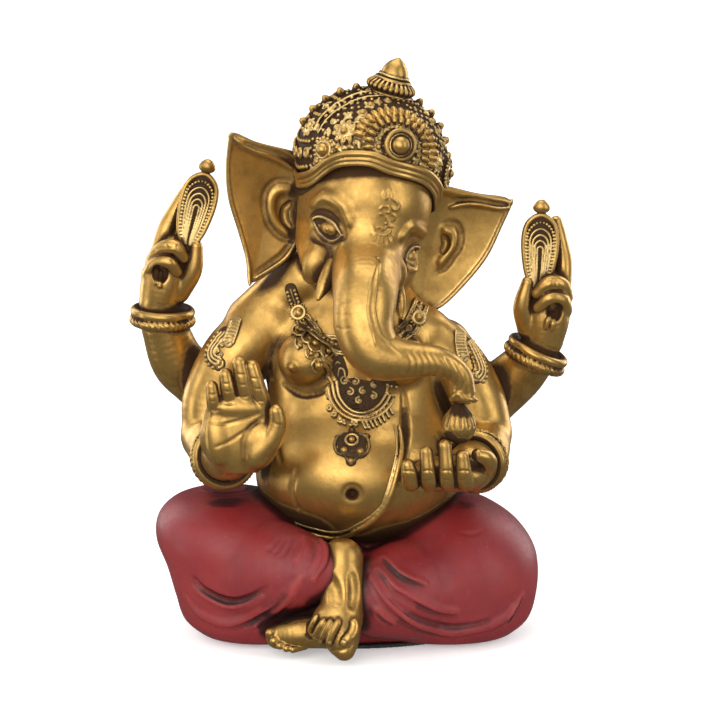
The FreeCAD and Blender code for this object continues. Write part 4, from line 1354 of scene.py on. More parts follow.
def crown_beads_detail(grid):
    """Pointed beads that stand in a row over the crown from side to side."""
    for step in (-6, -5, -4, -3, -2, 2, 3, 4, 5, 6):
        a = math.radians(step * 12.5)
        x, y, z = CROWN_CENTRE
        out = HEAD_TURN @ unit(np.array([math.sin(a), 0, math.cos(a)]))
        p = at_head(x + CROWN_RADII[0] * 1.02 * math.sin(a), y + 1.0, z + CROWN_RADII[2] * 1.02 * math.cos(a))
        m = axes_on(out, HEAD_TURN @ np.array([0, 1.0, 0]))
        grid.add(ellipsoid(p, (1.6, 1.4, 2.3), m), 0.1)
        grid.add(ball(p + out * 1.5, 0.95), 0.4)
        grid.cut(tube([p - m[:, 1] * 1.6 + out * 0.4, p - m[:, 1] * 1.2 + out * 1.6], [0.35, 0.3]), 0.2)
        grid.add(ball(p + m[:, 0] * 2.2 - out * 0.2, 0.85), 0.1)


def finial_detail(grid):
    """A wide fluted collar, two fine rings and a blunt bud."""
    x, y, z = CROWN_CENTRE
    foot = at_head(x, y, z + CROWN_RADII[2] + 0.3)
    m = axes_on(UP_HEAD, (0, 1, 0))

    def at(h):
        return foot + UP_HEAD * h

    grid.add(ellipsoid(at(-0.4), (7.6, 7.6, 1.9), m), 0.3)
    grid.add(torus(at(-0.5), UP_HEAD, 7.2, 0.75), 0.3)
    grid.add(ellipsoid(at(1.9), (8.0, 8.0, 2.4), m), 0.2)
    for i in range(26):
        way = spin(m, 2 * math.pi * i / 26)
        grid.add(tube([at(0.6) + way * 7.3, at(1.9) + way * 7.9, at(3.5) + way * 6.6], [0.6, 0.8, 0.55], 4),
                 0.1)
    grid.add(torus(at(4.3), UP_HEAD, 5.7, 0.7), 0.15)
    grid.add(ellipsoid(at(4.6), (5.5, 5.5, 1.2), m), 0.2)
    grid.add(torus(at(5.7), UP_HEAD, 5.0, 0.5), 0.15)
    grid.add(ellipsoid(at(5.7), (4.7, 4.7, 5.4), m), 0.2)
    grid.add(tube([at(8.4), at(11.0)], [2.6, 0.95]), 1.6)


# ---- jewellery on the body -------------------------------------------------------------------------
def band(grid, line, half_width, thickness):
    """A strip of even thickness along a line on the ground."""
    guide = polyline(line, np.full(len(line), half_width))
    block, d = grid.distance(guide, 2.0)
    if block is None:
        return
    skin = np.abs(grid.base[block] - thickness * 0.4) - thickness * 0.6
    grid.field[block] = blend(grid.field[block], blend_cut(skin, d, 0.4), 0.2)


def offset_line(line, normals, shift):
    """A line on the surface moved sideways by shift, towards the ground below."""
    side = unit(np.cross(np.gradient(line, axis=0), normals))
    return line + side * shift


def facing(normal):
    """A normal turned part of the way to the front."""
    return unit(normal - VIEW_AWAY * 1.2)


def cord(grid, line, radius, lift, k=0.12):
    path, n = grid.settle(line, lift)
    grid.add(polyline(path, np.full(len(path), radius)), k)
    return path, n


def collar_detail(grid):
    """Bead strands from the shoulder, a broad band between cords, and beads in scrolls below it."""
    grid.as_ground()
    strands, sn = cast(grid, [(-19.4, 119.6), (-18.6, 116.9), (-17.4, 113.7)])
    band(grid, strands, 2.3, 0.45)
    for shift in (-1.3, 1.3):
        path, n = grid.settle(offset_line(strands, sn, shift), 0.3)
        bead_row(grid, path, n, 0.62, 1.45, 0.5, 0.1)
    cord(grid, strands, 0.32, 0.55)
    spots = [(-15.3, 108.9), (-12.2, 105.1), (-8.3, 101.9), (-3.5, 100.2), (3.1, 99.2), (10.1, 99.5),
             (15.9, 101.6), (19.8, 104.4), (22.5, 107.8), (24.3, 111.7), (25.3, 114.8)]
    line, normals = cast(grid, spots)
    band(grid, line, 2.9, 0.5)
    for shift, radius in ((-2.7, 0.42), (-1.75, 0.3), (2.0, 0.3), (2.9, 0.42)):
        cord(grid, offset_line(line, normals, shift), radius, 0.75)
    path, n = grid.settle(line, 0.5)
    for i, (p, k) in enumerate(along_line(path, n, 1.75)):
        if i % 3:
            bead(grid, p, k, 0.62, 0.5, 0.1)
        else:
            ringed_bead(grid, p, k, 0.85)
    hung = (((-16.5, 105.8), 1.15), ((-11.3, 100.4), 1.15), ((-7.1, 97.9), 1.0), ((-16.1, 99.7), 1.0),
            ((-12.5, 97.1), 0.95), ((-18.6, 103.7), 0.75), ((17.0, 98.5), 1.0), ((20.5, 101.9), 0.9),
            ((19.1, 100.2), 0.7))
    for spot, radius in hung:
        bead(grid, *touch(grid, spot), radius, 0.6, 0.1)
    for spots in ([(-17.7, 107.1), (-18.6, 105.1), (-17.4, 103.2), (-15.4, 103.3), (-14.2, 104.7)],
                  [(-15.1, 103.8), (-15.4, 101.9), (-14.2, 100.6), (-12.8, 101.4), (-13.4, 102.6)],
                  [(-12.7, 101.6), (-13.4, 99.9), (-12.3, 98.1), (-10.2, 97.9), (-8.9, 99.3)],
                  [(-9.0, 99.5), (-9.6, 97.8), (-8.7, 96.0), (-6.9, 95.7), (-5.6, 96.9)],
                  [(-17.4, 101.9), (-17.7, 100.2), (-16.8, 98.5)],
                  [(-14.2, 98.5), (-14.1, 96.4), (-12.5, 95.2)]):
        swell(grid, spots, 0.52, 0.1, 0.6, 0.6)
    web, _ = cast(grid, [(-5.6, 98.1), (-3.5, 94.7), (-2.1, 90.5)])
    band(grid, web, 2.7, 0.35)
    for spots in ([(-3.1, 89.1), (-2.6, 91.9), (-1.1, 91.5), (-0.4, 88.8), (1.4, 87.0)],
                  [(-5.6, 97.8), (-4.2, 96.4), (-2.8, 97.1)], [(-4.5, 92.9), (-3.5, 94.3), (-2.1, 93.6)]):
        swell(grid, spots, 0.42, 0.1, 0.5, 0.6)


def chain_detail(grid):
    """Cords in a U, which start as a curl round a ball, with scrolls and ribs inside it on a ground painted
    dark, partly a dark wash and partly painted shade.
    """
    grid.as_ground()
    spots = [(-8.7, 95.3), (-6.4, 93.3), (-5.2, 89.8), (-4.7, 84.9), (-3.5, 80.8), (-0.4, 76.8), (4.0, 74.9),
             (8.3, 75.6), (12.0, 78.3), (14.6, 82.5), (15.6, 86.7)]
    line, normals = cast(grid, spots)
    band(grid, line, 2.0, 0.5)
    for shift, radius in ((-1.5, 0.5), (0.0, 0.5), (1.6, 0.62)):
        cord(grid, offset_line(line, normals, shift), radius, 0.8)
        start, _ = cast(grid, [(u - shift, v) for u, v in spots[:4]], 0.7)
        grid.add(polyline(start, np.full(len(start), radius)), 0.12)
    bead(grid, *touch(grid, (-10.1, 93.3)), 1.6, 0.6, 0.1)
    hook = [(-7.3, 94.0), (-8.9, 95.5), (-10.9, 95.3), (-12.3, 93.6), (-11.8, 91.7), (-10.4, 91.0)]
    swell(grid, hook, 0.6, 0.1, 0.5, 0.6)
    # ground bands that the ground mask paints dark: partly a dark wash, partly painted shade
    for spots, half in (([(-1.4, 90.1), (1.4, 83.9), (6.6, 81.1), (11.4, 84.6)], 4.6),
                        ([(-0.4, 91.5), (4.5, 87.4), (9.4, 86.7), (13.5, 87.4)], 3.6)):
        ground, _ = cast(grid, spots)
        band(grid, ground, half, 0.3)
    for spot, radius, hand in (((-2.1, 91.5), 1.5, 1), ((-0.7, 87.7), 1.4, -1), ((1.0, 83.9), 1.3, 1),
                               ((4.2, 80.8), 1.2, -1), ((2.8, 87.4), 1.3, 1), ((5.5, 84.2), 1.2, -1),
                               ((9.0, 82.5), 1.2, 1), ((12.5, 84.9), 1.3, -1), ((1.4, 91.2), 1.1, -1),
                               ((9.4, 86.3), 1.1, -1)):
        p, n = touch(grid, spot)
        curl(grid, p + n * 0.3, n, (0, 0, 1), radius * 1.15, 1.1, 0.42, hand)
    ribbon, _ = cast(grid, [(-7.5, 89.8), (-6.9, 85.3), (-6.4, 81.8)])
    cord(grid, ribbon, 0.75, 0.4)
    for a, b in (((-6.3, 79.4), (-5.9, 77.8)), ((-5.0, 76.8), (-4.2, 75.4)), ((-3.1, 74.4), (-1.9, 73.3))):
        q, k = cast(grid, [a, b])
        petal(grid, q[0], k[0], q[-1] - q[0], 2.6, 2.5, 1.0, 0.1, 0.45, 0.5)
    for spot, way in (((-0.4, 72.1), (-0.4, 0, 1)), ((0.9, 71.4), (0.4, 0, 1)), ((3.1, 71.4), (0, 0, 1))):
        petal(grid, *touch(grid, spot), way, 2.9, 1.7, 0.9, 0.1, 0.4, 0.5)
    for i in range(8):
        t = i / 7
        u, v = 5.5 + 9.4 * t, 72.8 + 0.6 * t + 4.6 * t * t
        q, _ = cast(grid, [(u - 0.9, v + 1.6), (u + 0.9, v - 1.8)], 0.45, curve=False)
        grid.add(tube([q[0], q[1]], [0.42, 0.55]), 0.08)


def pendant_detail(grid):
    """A ball in a ring, with scrolled leaves round it and a bud below."""
    grid.as_ground()
    middle, n = touch(grid, (1.7, 66.9))
    m = axes_on(n, (0, 0, 1))
    grid.add(ellipsoid(middle - m[:, 1] * 1.2, (5.0, 5.0, 0.55), m), 0.2)
    grid.add(torus(middle + n * 0.9, n, 2.05, 0.5), 0.1)
    grid.add(ball(middle + n * 0.9, 1.15), 0.1)
    for spots in ([(-0.4, 69.3), (-2.8, 68.3), (-4.2, 65.5), (-3.3, 62.7), (-1.1, 61.9)],
                  [(3.8, 69.3), (6.6, 67.9), (7.6, 65.2), (6.6, 62.4), (4.5, 61.7)],
                  [(-1.1, 61.9), (0.2, 60.3), (1.4, 58.9), (2.8, 60.3), (4.5, 61.7)]):
        swell(grid, spots, 0.62, 0.1, 0.5, 0.6)
    for spot, radius in (((-0.9, 63.4), 1.6), ((4.7, 62.9), 1.6), ((6.8, 68.3), 0.95), ((-3.1, 67.9), 0.85),
                         ((1.4, 59.8), 1.3), ((1.7, 63.1), 0.8), ((1.7, 70.4), 0.9)):
        ringed_bead(grid, *touch(grid, spot), radius)


def collar_rosette(spot, way, radius):
    """A ball in a ring of beads, on a short stem that reaches the shoulder."""
    n, p = unit(way), np.array(spot)

    def detail(grid):
        grid.add(tube([p, p - n * 6], [radius * 0.8, radius * 0.6]), 0.3)
        grid.add(ellipsoid(p, (radius, radius, 1.3), axes_on(n, (0, 0, 1))), 0.2)
        grid.add(torus(p + n * 1.0, n, radius * 0.80, 0.5), 0.1)
        grid.add(ball(p + n * 1.1, radius * 0.46), 0.1)
        bead_ring(grid, p + n * 0.4, n, radius * 1.08, 0.42, 1.15, 0.3)
    return detail


def sash_detail(grid):
    """The hem that lies in a soft double fold under the belly and up its left side."""
    grid.as_ground()
    spots = [(-28.1, 44.7), (-22.2, 39.5), (-13.5, 35.7), (-3.1, 33.9), (5.2, 37.4), (11.4, 42.3),
             (14.9, 48.5), (17.7, 58.2), (18.7, 65.5), (17.3, 74.9)]
    line, _ = cast(grid, spots, 0.6, per_span=10)
    grid.add(polyline(line, tapered(len(line), 1.15, 0.15)), 0.4)
    beside = [(u, v + 1.6) for u, v in spots[:6]] + [(u - 1.5, v) for u, v in spots[6:]]
    inner, _ = cast(grid, beside, 0.1, per_span=10)
    grid.add(polyline(inner, tapered(len(inner), 0.65, 0.15)), 0.4)


# the strap and the middle of the plume beside it, as they show from the front
ARMLETS = {
    "right": ([(-38.3, 108.5), (-39.4, 105.1), (-41.0, 100.9)],
              [(-42.7, 104.4), (-45.1, 101.6), (-47.2, 98.1), (-46.8, 95.3), (-44.4, 93.6)], 1),
    "left": ([(38.8, 104.4), (39.2, 100.2), (40.2, 95.7)],
             [(42.0, 101.2), (43.7, 98.1), (45.4, 94.3), (46.1, 91.2), (44.7, 89.1)], -1),
}


def armlet_detail(side):
    """A laddered strap with a curled plume beside it."""
    strap_spots, plume_spots, hand = ARMLETS[side]

    def detail(grid):
        grid.as_ground()
        strap, sn = cast(grid, strap_spots)
        band(grid, strap, 1.9, 0.5)
        for shift in (-1.8, 1.8):
            cord(grid, offset_line(strap, sn, shift), 0.42, 0.75)
        for p, n in along_line(strap, sn, 1.25):
            along = unit(np.cross(n, unit(strap[-1] - strap[0])))
            cord(grid, np.array([p - along * 1.4, p + along * 1.4]), 0.38, 0.7)
        plume, pn = cast(grid, plume_spots)
        band(grid, plume, 2.6, 0.35)
        for shift in (-1.9, -0.7, 0.6):
            cord(grid, offset_line(plume, pn, shift), 0.4, 0.6)
        for p, n in along_line(*grid.settle(offset_line(plume, pn, 2.1)), 1.9):
            bead(grid, p, n, 0.72, 0.5, 0.1)
        for p, n in along_line(*grid.settle(offset_line(plume, pn, -3.0)), 2.2):
            curl(grid, p, n, (0, 0, 1), 0.95, 1.0, 0.36, hand)
        for line, normals, size in ((plume, pn, 1.8), (strap, sn, 1.3)):
            curl(grid, line[-1], normals[-1], (0, 0, 1), size, 1.1, 0.45, hand)
            bead(grid, line[-1], normals[-1], size * 0.4, 0.5, 0.1)
    return detail


BRACELETS = {
    "right_front": ((-41.5, -22.4, 65.0), (0.3, -0.95, 0.1), 9.7),
    "left_front": ((43.6, -21, 63.0), (-0.3, -0.95, -0.1), 9.4),
    "right_rear": ((-64.7, 12, 110.2), (0.05, -0.12, 1), 9.7),
    "left_rear": ((66.9, 12, 96.4), (0.42, -0.12, 0.9), 9.7),
}


def bracelet_detail(name):
    """A smooth ring next to a corded one, with a strip of fine beads between them."""
    centre, axis, radius = BRACELETS[name]
    way = unit(axis)

    def detail(grid):
        c = np.asarray(centre, float)
        grid.add(torus(c + way * 0.4, way, radius, 1.65), 0.2)
        grid.add(torus(c - way * 1.0, way, radius - 1.9, 1.9), 0.5)
        grid.add(ellipsoid(c - way * 0.8, (radius, radius, 1.6), axes_on(way, (0.1, 0.2, 1.0))), 0.8)
        grid.add(torus(c - way * 2.4, way, radius - 0.5, 1.1), 0.3)
        twist(grid, circle(c - way * 2.7, way, radius + 0.1, 96), 1.7, 5.4, 3, 0.08)
        if name.endswith("front"):
            line = circle(c + way * 0.5, way, radius + 1.35, 96)
            out = unit(line - (c + way * 0.5))
            bead_row(grid, line, out, 0.5, 1.15, 0.2)
    return detail


# ---- what the hands hold ---------------------------------------------------------------------------
EMBLEMS = {"right": ((-52.3, 5.0, 146.5), 15), "left": ((66.8, 5.0, 132.0), 2)}


def emblem_detail(side):
    """A carved tablet with nested arches, a beaded border and a pointed bud."""
    centre, lean = EMBLEMS[side]
    m = turn("y", lean)

    def at(x, y, z):
        return np.asarray(centre, float) + m @ np.array([x, y, z], float)

    def arch(grow, y, low):
        half = [(2.6, low), (4.8, -6), (6.0, 3.5), (4.7, 10.3), (0, 13.4)]
        points = [(x * grow, z * grow if z > 0 else z) for x, z in half]
        return [at(x, y, z) for x, z in points] + [at(-x, y, z) for x, z in reversed(points[:-1])]

    def detail(grid):
        slab = [(13.0, 1.6), (10.5, 4.2), (7, 5.4), (3.5, 5.7), (-1, 5.3), (-6, 4.5), (-10, 3.3),
                (-13.5, 2.2)]
        for (z0, w0), (z1, w1) in zip(slab, slab[1:]):
            for t in (0, 0.34, 0.67, 1):
                z, w = z0 + (z1 - z0) * t, w0 + (w1 - w0) * t
                grid.add(ellipsoid(at(0, 0, z), (w, 1.35, 1.7), m), 0.3)
        grid.as_ground(keep=True)
        for grow, radius, y in ((0.97, 0.75, 1.1), (0.62, 0.42, 1.4), (0.46, 0.42, 1.5), (0.31, 0.42, 1.5),
                                (0.16, 0.4, 1.5)):
            grid.add(tube(arch(grow, -y, -12.0), radius), 0.15)
            grid.add(tube(arch(grow, y, -12.0), radius), 0.15)
        line = smooth_path(arch(0.79, -1.2, -11.0), 8)
        bead_row(grid, line, np.tile(m @ np.array([0, -1.0, 0]), (len(line), 1)), 0.55, 1.2, 0.3)
        grid.add(ellipsoid(at(0, 0, 15.5), (3.0, 2.0, 2.0), m), 0.15)
        grid.add(ellipsoid(at(0, 0, 16.7), (1.7, 1.6, 1.6), m), 1.4)
    return detail


def sweet_detail(grid):
    """A pleated sweet drawn up to a point."""
    foot = np.array([37.2, -44.5, 79.0])
    grid.add(ellipsoid(foot, (5.7, 5.6, 5.6)), 0.3)
    grid.add(tube([foot + (0, 0, 1.5), foot + (0, 0, 6.0), foot + (0, 0, 9.4)], [4.9, 2.6, 0.8]), 1.6)
    for i in range(13):
        a = 2 * math.pi * i / 13
        out = np.array([math.cos(a), math.sin(a), 0.0])
        grid.cut(tube([foot + out * 5.8 + (0, 0, 0.5), foot + out * 5.0 + (0, 0, 3.4),
                       foot + out * 1.9 + (0, 0, 8.0)],
                      [0.1, 0.2, 0.12]), 0.8)


# ---- the list of pieces ----------------------------------------------------------------------------
class Recipe:
    """How one CAD node's casting is modelled."""

    def __init__(self, slot, step, detail=None, form=None, owner=True, margin=2.4, depth=1.2, dark=1.0):
        self.slot, self.step, self.detail, self.form = slot, step, detail, form
        self.owner, self.margin = owner, margin
        self.depth = depth           # how high relief must stand on its ground to be clear of the dark wash and painted shade
        self.dark = dark             # how much painted shade, partly a dark wash, this casting takes where surfaces close in


GOLD, ORNAMENT, RED, FELT = "gold_body", "gold_ornament", "red_dhoti", "felt"
RECIPES = {
    "felt_pad": Recipe(FELT, 0.5, pad_detail),
    "seat": Recipe(RED, 0.6, seat_detail, "dhoti"),
    "left_leg": Recipe(RED, 0.6, left_leg_detail, "dhoti"),
    "right_leg": Recipe(RED, 0.6, right_leg_detail, "dhoti"),
    "left_foot": Recipe(GOLD, 0.35, tucked_foot_detail),
    "right_foot": Recipe(GOLD, 0.35, front_foot_detail),
    "torso": Recipe(GOLD, 0.5, torso_detail, "body"),
    "waist_sash": Recipe(GOLD, 0.35, sash_detail, "body", False, margin=5.0, depth=0.3, dark=0.35),
    "head": Recipe(GOLD, 0.4, head_detail, "head"),
    "trunk": Recipe(GOLD, 0.4, trunk_detail, "head", margin=8.0),
    "right_tusk": Recipe(GOLD, 0.25, tusk_detail(-1)),
    "left_tusk": Recipe(GOLD, 0.25, tusk_detail(1)),
    "right_ear": Recipe(GOLD, 0.4, ear_detail("right", -1), dark=0.65),
    "left_ear": Recipe(GOLD, 0.4, ear_detail("left", 1), dark=0.65),
    "crown_dome": Recipe(ORNAMENT, 0.3, crown_dome_detail, margin=4.0, depth=0.8),
    "crown_rim": Recipe(ORNAMENT, 0.3, crown_rim_detail, margin=4.0, depth=1.5),
    "crown_plate": Recipe(ORNAMENT, 0.27, crown_plate_detail, margin=5.0, depth=0.8),
    "crown_medallion": Recipe(ORNAMENT, 0.25, medallion_detail),
    "crown_right_rosette": Recipe(ORNAMENT, 0.25, boss_detail, margin=5.0, depth=1.1),
    "crown_left_rosette": Recipe(ORNAMENT, 0.25, crown_rosette(64, 2.0), margin=5.0),
    "crown_back_rosette": Recipe(ORNAMENT, 0.25, crown_rosette(180)),
    "crown_finial": Recipe(ORNAMENT, 0.25, finial_detail),
    "crown_beads": Recipe(ORNAMENT, 0.3, crown_beads_detail),
    "collar": Recipe(ORNAMENT, 0.3, collar_detail, "body", False, margin=6.0, depth=1.25, dark=0.5),
    "pendant_chain": Recipe(ORNAMENT, 0.3, chain_detail, "body", False, margin=6.0, depth=1.25, dark=0.6),
    "pendant": Recipe(ORNAMENT, 0.25, pendant_detail, "body", False, margin=5.0, depth=2.0),
    "right_collar_rosette": Recipe(ORNAMENT, 0.25,
                                   collar_rosette((-16.2, -15.8, 113.3), (-0.25, -0.9, 0.35), 2.9)),
    "left_collar_rosette": Recipe(ORNAMENT, 0.25,
                                  collar_rosette((24.2, -14.8, 111.5), (0.3, -0.9, 0.3), 2.7)),
    "right_front_hand": Recipe(GOLD, 0.35, open_hand_detail, "body"),
    "left_front_hand": Recipe(GOLD, 0.35, left_hand_detail, "body"),
    "right_rear_hand": Recipe(GOLD, 0.35, rear_hand_detail("right"), "body"),
    "left_rear_hand": Recipe(GOLD, 0.35, rear_hand_detail("left"), "body"),
    "right_emblem": Recipe(ORNAMENT, 0.25, emblem_detail("right"), depth=0.6),
    "left_emblem": Recipe(ORNAMENT, 0.25, emblem_detail("left"), depth=0.6),
    "sweet": Recipe(ORNAMENT, 0.3, sweet_detail),
}
for limb in [*UPPER_ARMS, *FOREARMS]:
    RECIPES[limb] = Recipe(GOLD, 0.5, None, "body")
for side in ARMLETS:
    RECIPES[side + "_armlet"] = Recipe(ORNAMENT, 0.27, armlet_detail(side), "body", False, margin=7.0,
                                       depth=0.8)
for place in BRACELETS:
    RECIPES[place + "_bracelet"] = Recipe(ORNAMENT, 0.3, bracelet_detail(place))


FORM_MARGIN = 1.5            # room round a form that reaches out of its CAD node's box
FORM_REACH = 2.5             # how far beyond a form its field is worked out
TUCK = 0.7                   # how far a casting runs on under its neighbour


def sculpt(name):
    """The finished field of one node's casting."""
    recipe = RECIPES[name]
    low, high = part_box(name)
    step = recipe.step * 1.0
    low = np.array(low) / MM - ORIGIN - recipe.margin
    high = np.array(high) / MM - ORIGIN + recipe.margin
    for owner, shape, _, _ in FORMS.get(recipe.form, []):
        if owner == name and recipe.owner:
            low = np.minimum(low, shape.low - FORM_MARGIN)
            high = np.maximum(high, shape.high + FORM_MARGIN)
    grid = Grid(np.maximum(low, (-FAR, -FAR, -1)), high, step)
    if recipe.form:
        for owner, shape, k, near in FORMS[recipe.form]:
            grid.add(shape, k, owner == name if recipe.owner else None, near, FORM_REACH)
    if recipe.detail:
        recipe.detail(grid)
    grid.split(TUCK)
    for axis in range(3):
        sides = np.moveaxis(grid.field, axis, 0)
        for face in (sides[0], sides[-1]):
            np.maximum(face, step, out=face)
    return grid


def occlusion(grids, points, normals, reach):
    """How far the figure's other surfaces close in on each point, from 0 in the open to 1 in a crevice."""
    probe = points + normals * reach
    nearest = np.full(len(points), float(reach))
    for grid in grids:
        inside = grid.covers(probe)
        if inside.any():
            nearest[inside] = np.minimum(nearest[inside], grid.sample(probe[inside]))
    return np.clip(1 - nearest / reach, 0, 1)


EDGE_DEPTH = 0.8             # how deep a point is looked for under an edge that is painted pale: worn gilding on the gold, a painted highlight on the red
VALLEY_REACH = 0.9           # how near a piece's own surface closes in on a fine hollow
WIDE_REACH = 4.5             # how near any surface closes in on a wide hollow
JOINT_REACH = 1.5            # how near another piece closes in along a joint


def wear_and_shade(name, grids, verts):
    """Where one casting's edges are painted pale and where it is painted dark, each from 0 to 1.
    Pale edges are worn gilding on the gold and a painted highlight on the red; the dark is partly a dark wash
    and partly painted shade where surfaces close in.
    """
    grid, recipe = grids[name], RECIPES[name]
    normals = unit(grid.slope(verts, grid.field))
    edge = np.clip(1 + grid.sample(verts - normals * EDGE_DEPTH, grid.field) / EDGE_DEPTH, 0, 1)
    # ground: painted shade, partly a dark wash, on the ground under relief, darker the nearer the surface
    # lies to it
    ground = np.zeros(len(verts))
    if grid.base is not None:
        ground = 1 - np.clip(grid.sample(verts, grid.base) / recipe.depth, 0, 1)
    everything = list(grids.values())
    others = [g for g in everything if g is not grid]
    # hollow: painted shade, partly a dark wash, where this or another piece's surface closes in, under
    # overhangs and along joints
    hollow = np.maximum(occlusion(everything, verts, normals, WIDE_REACH),
                        occlusion(others, verts, normals, JOINT_REACH)) * recipe.dark
    # valley: painted shade, partly a dark wash, in this piece's own fine hollows
    return {"valley": occlusion([grid], verts, normals, VALLEY_REACH), "hollow": hollow, "edge": edge,
            "ground": ground}


def make_mesh(name, verts, quads, layers):
    """A Blender mesh object from millimetre vertices in the working axes."""
    mesh = bpy.data.meshes.new(name)
    mesh.vertices.add(len(verts))
    mesh.vertices.foreach_set("co", ((verts + ORIGIN) * MM).astype(np.float32).ravel())
    mesh.loops.add(quads.size)
    mesh.loops.foreach_set("vertex_index", quads.astype(np.int32).ravel())
    mesh.polygons.add(len(quads))
    mesh.polygons.foreach_set("loop_start", np.arange(0, quads.size, 4, dtype=np.int32))
    mesh.polygons.foreach_set("use_smooth", np.ones(len(quads), bool))
    mesh.update(calc_edges=True)
    mesh.validate()
    for layer, values in layers.items():
        mesh.attributes.new(layer, "FLOAT", "POINT").data.foreach_set("value", values.astype(np.float32))
    obj = bpy.data.objects.new(name, mesh)
    bpy.context.scene.collection.objects.link(obj)
    return obj


# ---- materials -------------------------------------------------------------------------------------
class Nodes:
    """A short way to write a node tree."""

    def __init__(self, material):
        material.use_nodes = True
        self.tree = material.node_tree
        self.tree.nodes.clear()

    def add(self, kind, **inputs):
        settings = inputs.pop("set", {})
        node = self.tree.nodes.new(kind)
        for key, value in settings.items():
            setattr(node, key, value)
        for key, value in inputs.items():
            self.put(node, key.replace("_", " "), value)
        return node

    def put(self, node, key, value):
        socket = node.inputs[int(key[1:])] if key[0] == "#" else node.inputs[key]
        if isinstance(value, bpy.types.NodeSocket):
            self.tree.links.new(value, socket)
        else:
            socket.default_value = value

    def surface(self, **inputs):
        """The shader that everything feeds, and the output."""
        shader = self.add("ShaderNodeBsdfPrincipled", **inputs)
        self.add("ShaderNodeOutputMaterial", Surface=shader.outputs[0])

    def bump(self, height, strength, distance):
        return self.add("ShaderNodeBump", Height=height, Strength=strength, Distance=distance).outputs[0]

    def math(self, kind, a, b=0.0, clamp=False):
        node = self.add("ShaderNodeMath", set={"operation": kind, "use_clamp": clamp})
        self.put(node, "#0", a)
        self.put(node, "#1", b)
        return node.outputs[0]

    def plus(self, a, b):
        return self.math("ADD", a, b)

    def times(self, a, factor):
        return self.math("MULTIPLY", a, factor)

    def swing(self, noise, size):
        """A noise from 0 to 1 as a shift to both sides of nought."""
        return self.times(self.math("SUBTRACT", noise, 0.5), size)

    def ramp(self, value, low, high, out_low=0.0, out_high=1.0):
        node = self.add("ShaderNodeMapRange", set={"clamp": True, "interpolation_type": "SMOOTHSTEP"},
                        Value=value)
        for key, number in (("From Min", low), ("From Max", high), ("To Min", out_low), ("To Max", out_high)):
            node.inputs[key].default_value = number
        return node.outputs["Result"]

    def mix(self, factor, a, b):
        node = self.add("ShaderNodeMix", set={"data_type": "RGBA"})
        for socket, value in ((node.inputs[0], factor), (node.inputs[6], a), (node.inputs[7], b)):
            if isinstance(value, bpy.types.NodeSocket):
                self.tree.links.new(value, socket)
            else:
                socket.default_value = value if isinstance(value, float) else (*value, 1.0)
        return node.outputs[2]

    def noise(self, where, scale, detail=3.0, rough=0.6):
        return self.add("ShaderNodeTexNoise", Vector=where, Scale=scale, Detail=detail,
                        Roughness=rough).outputs[0]

    def attribute(self, name):
        return self.add("ShaderNodeAttribute", set={"attribute_name": name}).outputs["Fac"]


def start_material(name):
    """A new material, the writer of its nodes, and its place on the object."""
    material = bpy.data.materials.new(name)
    nodes = Nodes(material)
    return material, nodes, nodes.add("ShaderNodeTexCoord").outputs["Object"]


def shade_of(colour, red, green, blue):
    return colour[0] * red, colour[1] * green, colour[2] * blue


PIT_DEPTH, FIBRE_DEPTH = 0.0003, 0.0004      # metres that a bump stands for


def gold(name, base, pale, deep, rough, pits, wash_and_shade_from, wash_and_shade_to, edges):
    """Old gold paint: bright on raised edges, brown in patches, dark in hollows and where surfaces close in
    (partly a brown wash, partly painted shade), a finely pitted skin.
    """
    material, n, where = start_material(name)
    large = n.noise(where, 55.0, 5.0, 0.62)
    cloud = n.noise(where, 170.0, 5.0, 0.7)
    fine = n.noise(where, 900.0, 3.0)
    grain = n.noise(where, 2600.0, 2.0, 0.7)
    uneven = n.plus(n.swing(fine, 0.30), n.swing(cloud, 0.30))
    # painted shade, partly a dark wash: how far surfaces close in on the point, with fine hollows and the
    # ground under relief
    hollow = n.plus(n.attribute("hollow"), n.times(n.attribute("valley"), 0.9))
    hollow = n.math("MAXIMUM", hollow, n.times(n.attribute("ground"), 0.9))
    # the painted shade and dark wash together, broken up by noise
    wash_and_shade = n.ramp(n.plus(hollow, uneven), wash_and_shade_from, wash_and_shade_to)
    # brown patches: random stains, and painted shade where they follow the hollows
    stain_and_shade = n.plus(n.times(hollow, 0.8), n.swing(large, 1.5))
    stain_and_shade = n.ramp(n.plus(stain_and_shade, n.swing(cloud, 0.9)), 0.02, 0.55)
    edge = n.ramp(n.plus(n.attribute("edge"), uneven), 0.25, 0.75)
    tone = n.mix(n.ramp(cloud, 0.35, 0.65), base, shade_of(base, 0.80, 0.80, 0.80))
    tone = n.mix(n.times(stain_and_shade, 0.62), tone, shade_of(base, 0.42, 0.36, 0.30))
    tone = n.mix(n.times(n.ramp(grain, 0.54, 0.72), 0.5), tone, shade_of(base, 0.5, 0.5, 0.5))
    tone = n.mix(n.times(edge, edges), tone, pale)
    # painted shade and dark wash: the colour darkens towards the deep brown
    tone = n.mix(n.times(wash_and_shade, 0.97), tone, deep)
    roughness = n.plus(n.ramp(cloud, 0.3, 0.7, rough - 0.06, rough + 0.08), n.times(wash_and_shade, 0.3))
    roughness = n.math("SUBTRACT", roughness, n.times(edge, 0.06), True)
    pitted = n.bump(n.plus(n.times(fine, 0.7), n.times(grain, 0.35)), pits, PIT_DEPTH)
    n.surface(Base_Color=tone, Roughness=roughness, Metallic=n.ramp(wash_and_shade, 0.15, 0.9, 0.93, 0.15),
              Normal=pitted, Specular_IOR_Level=0.15)
    return material


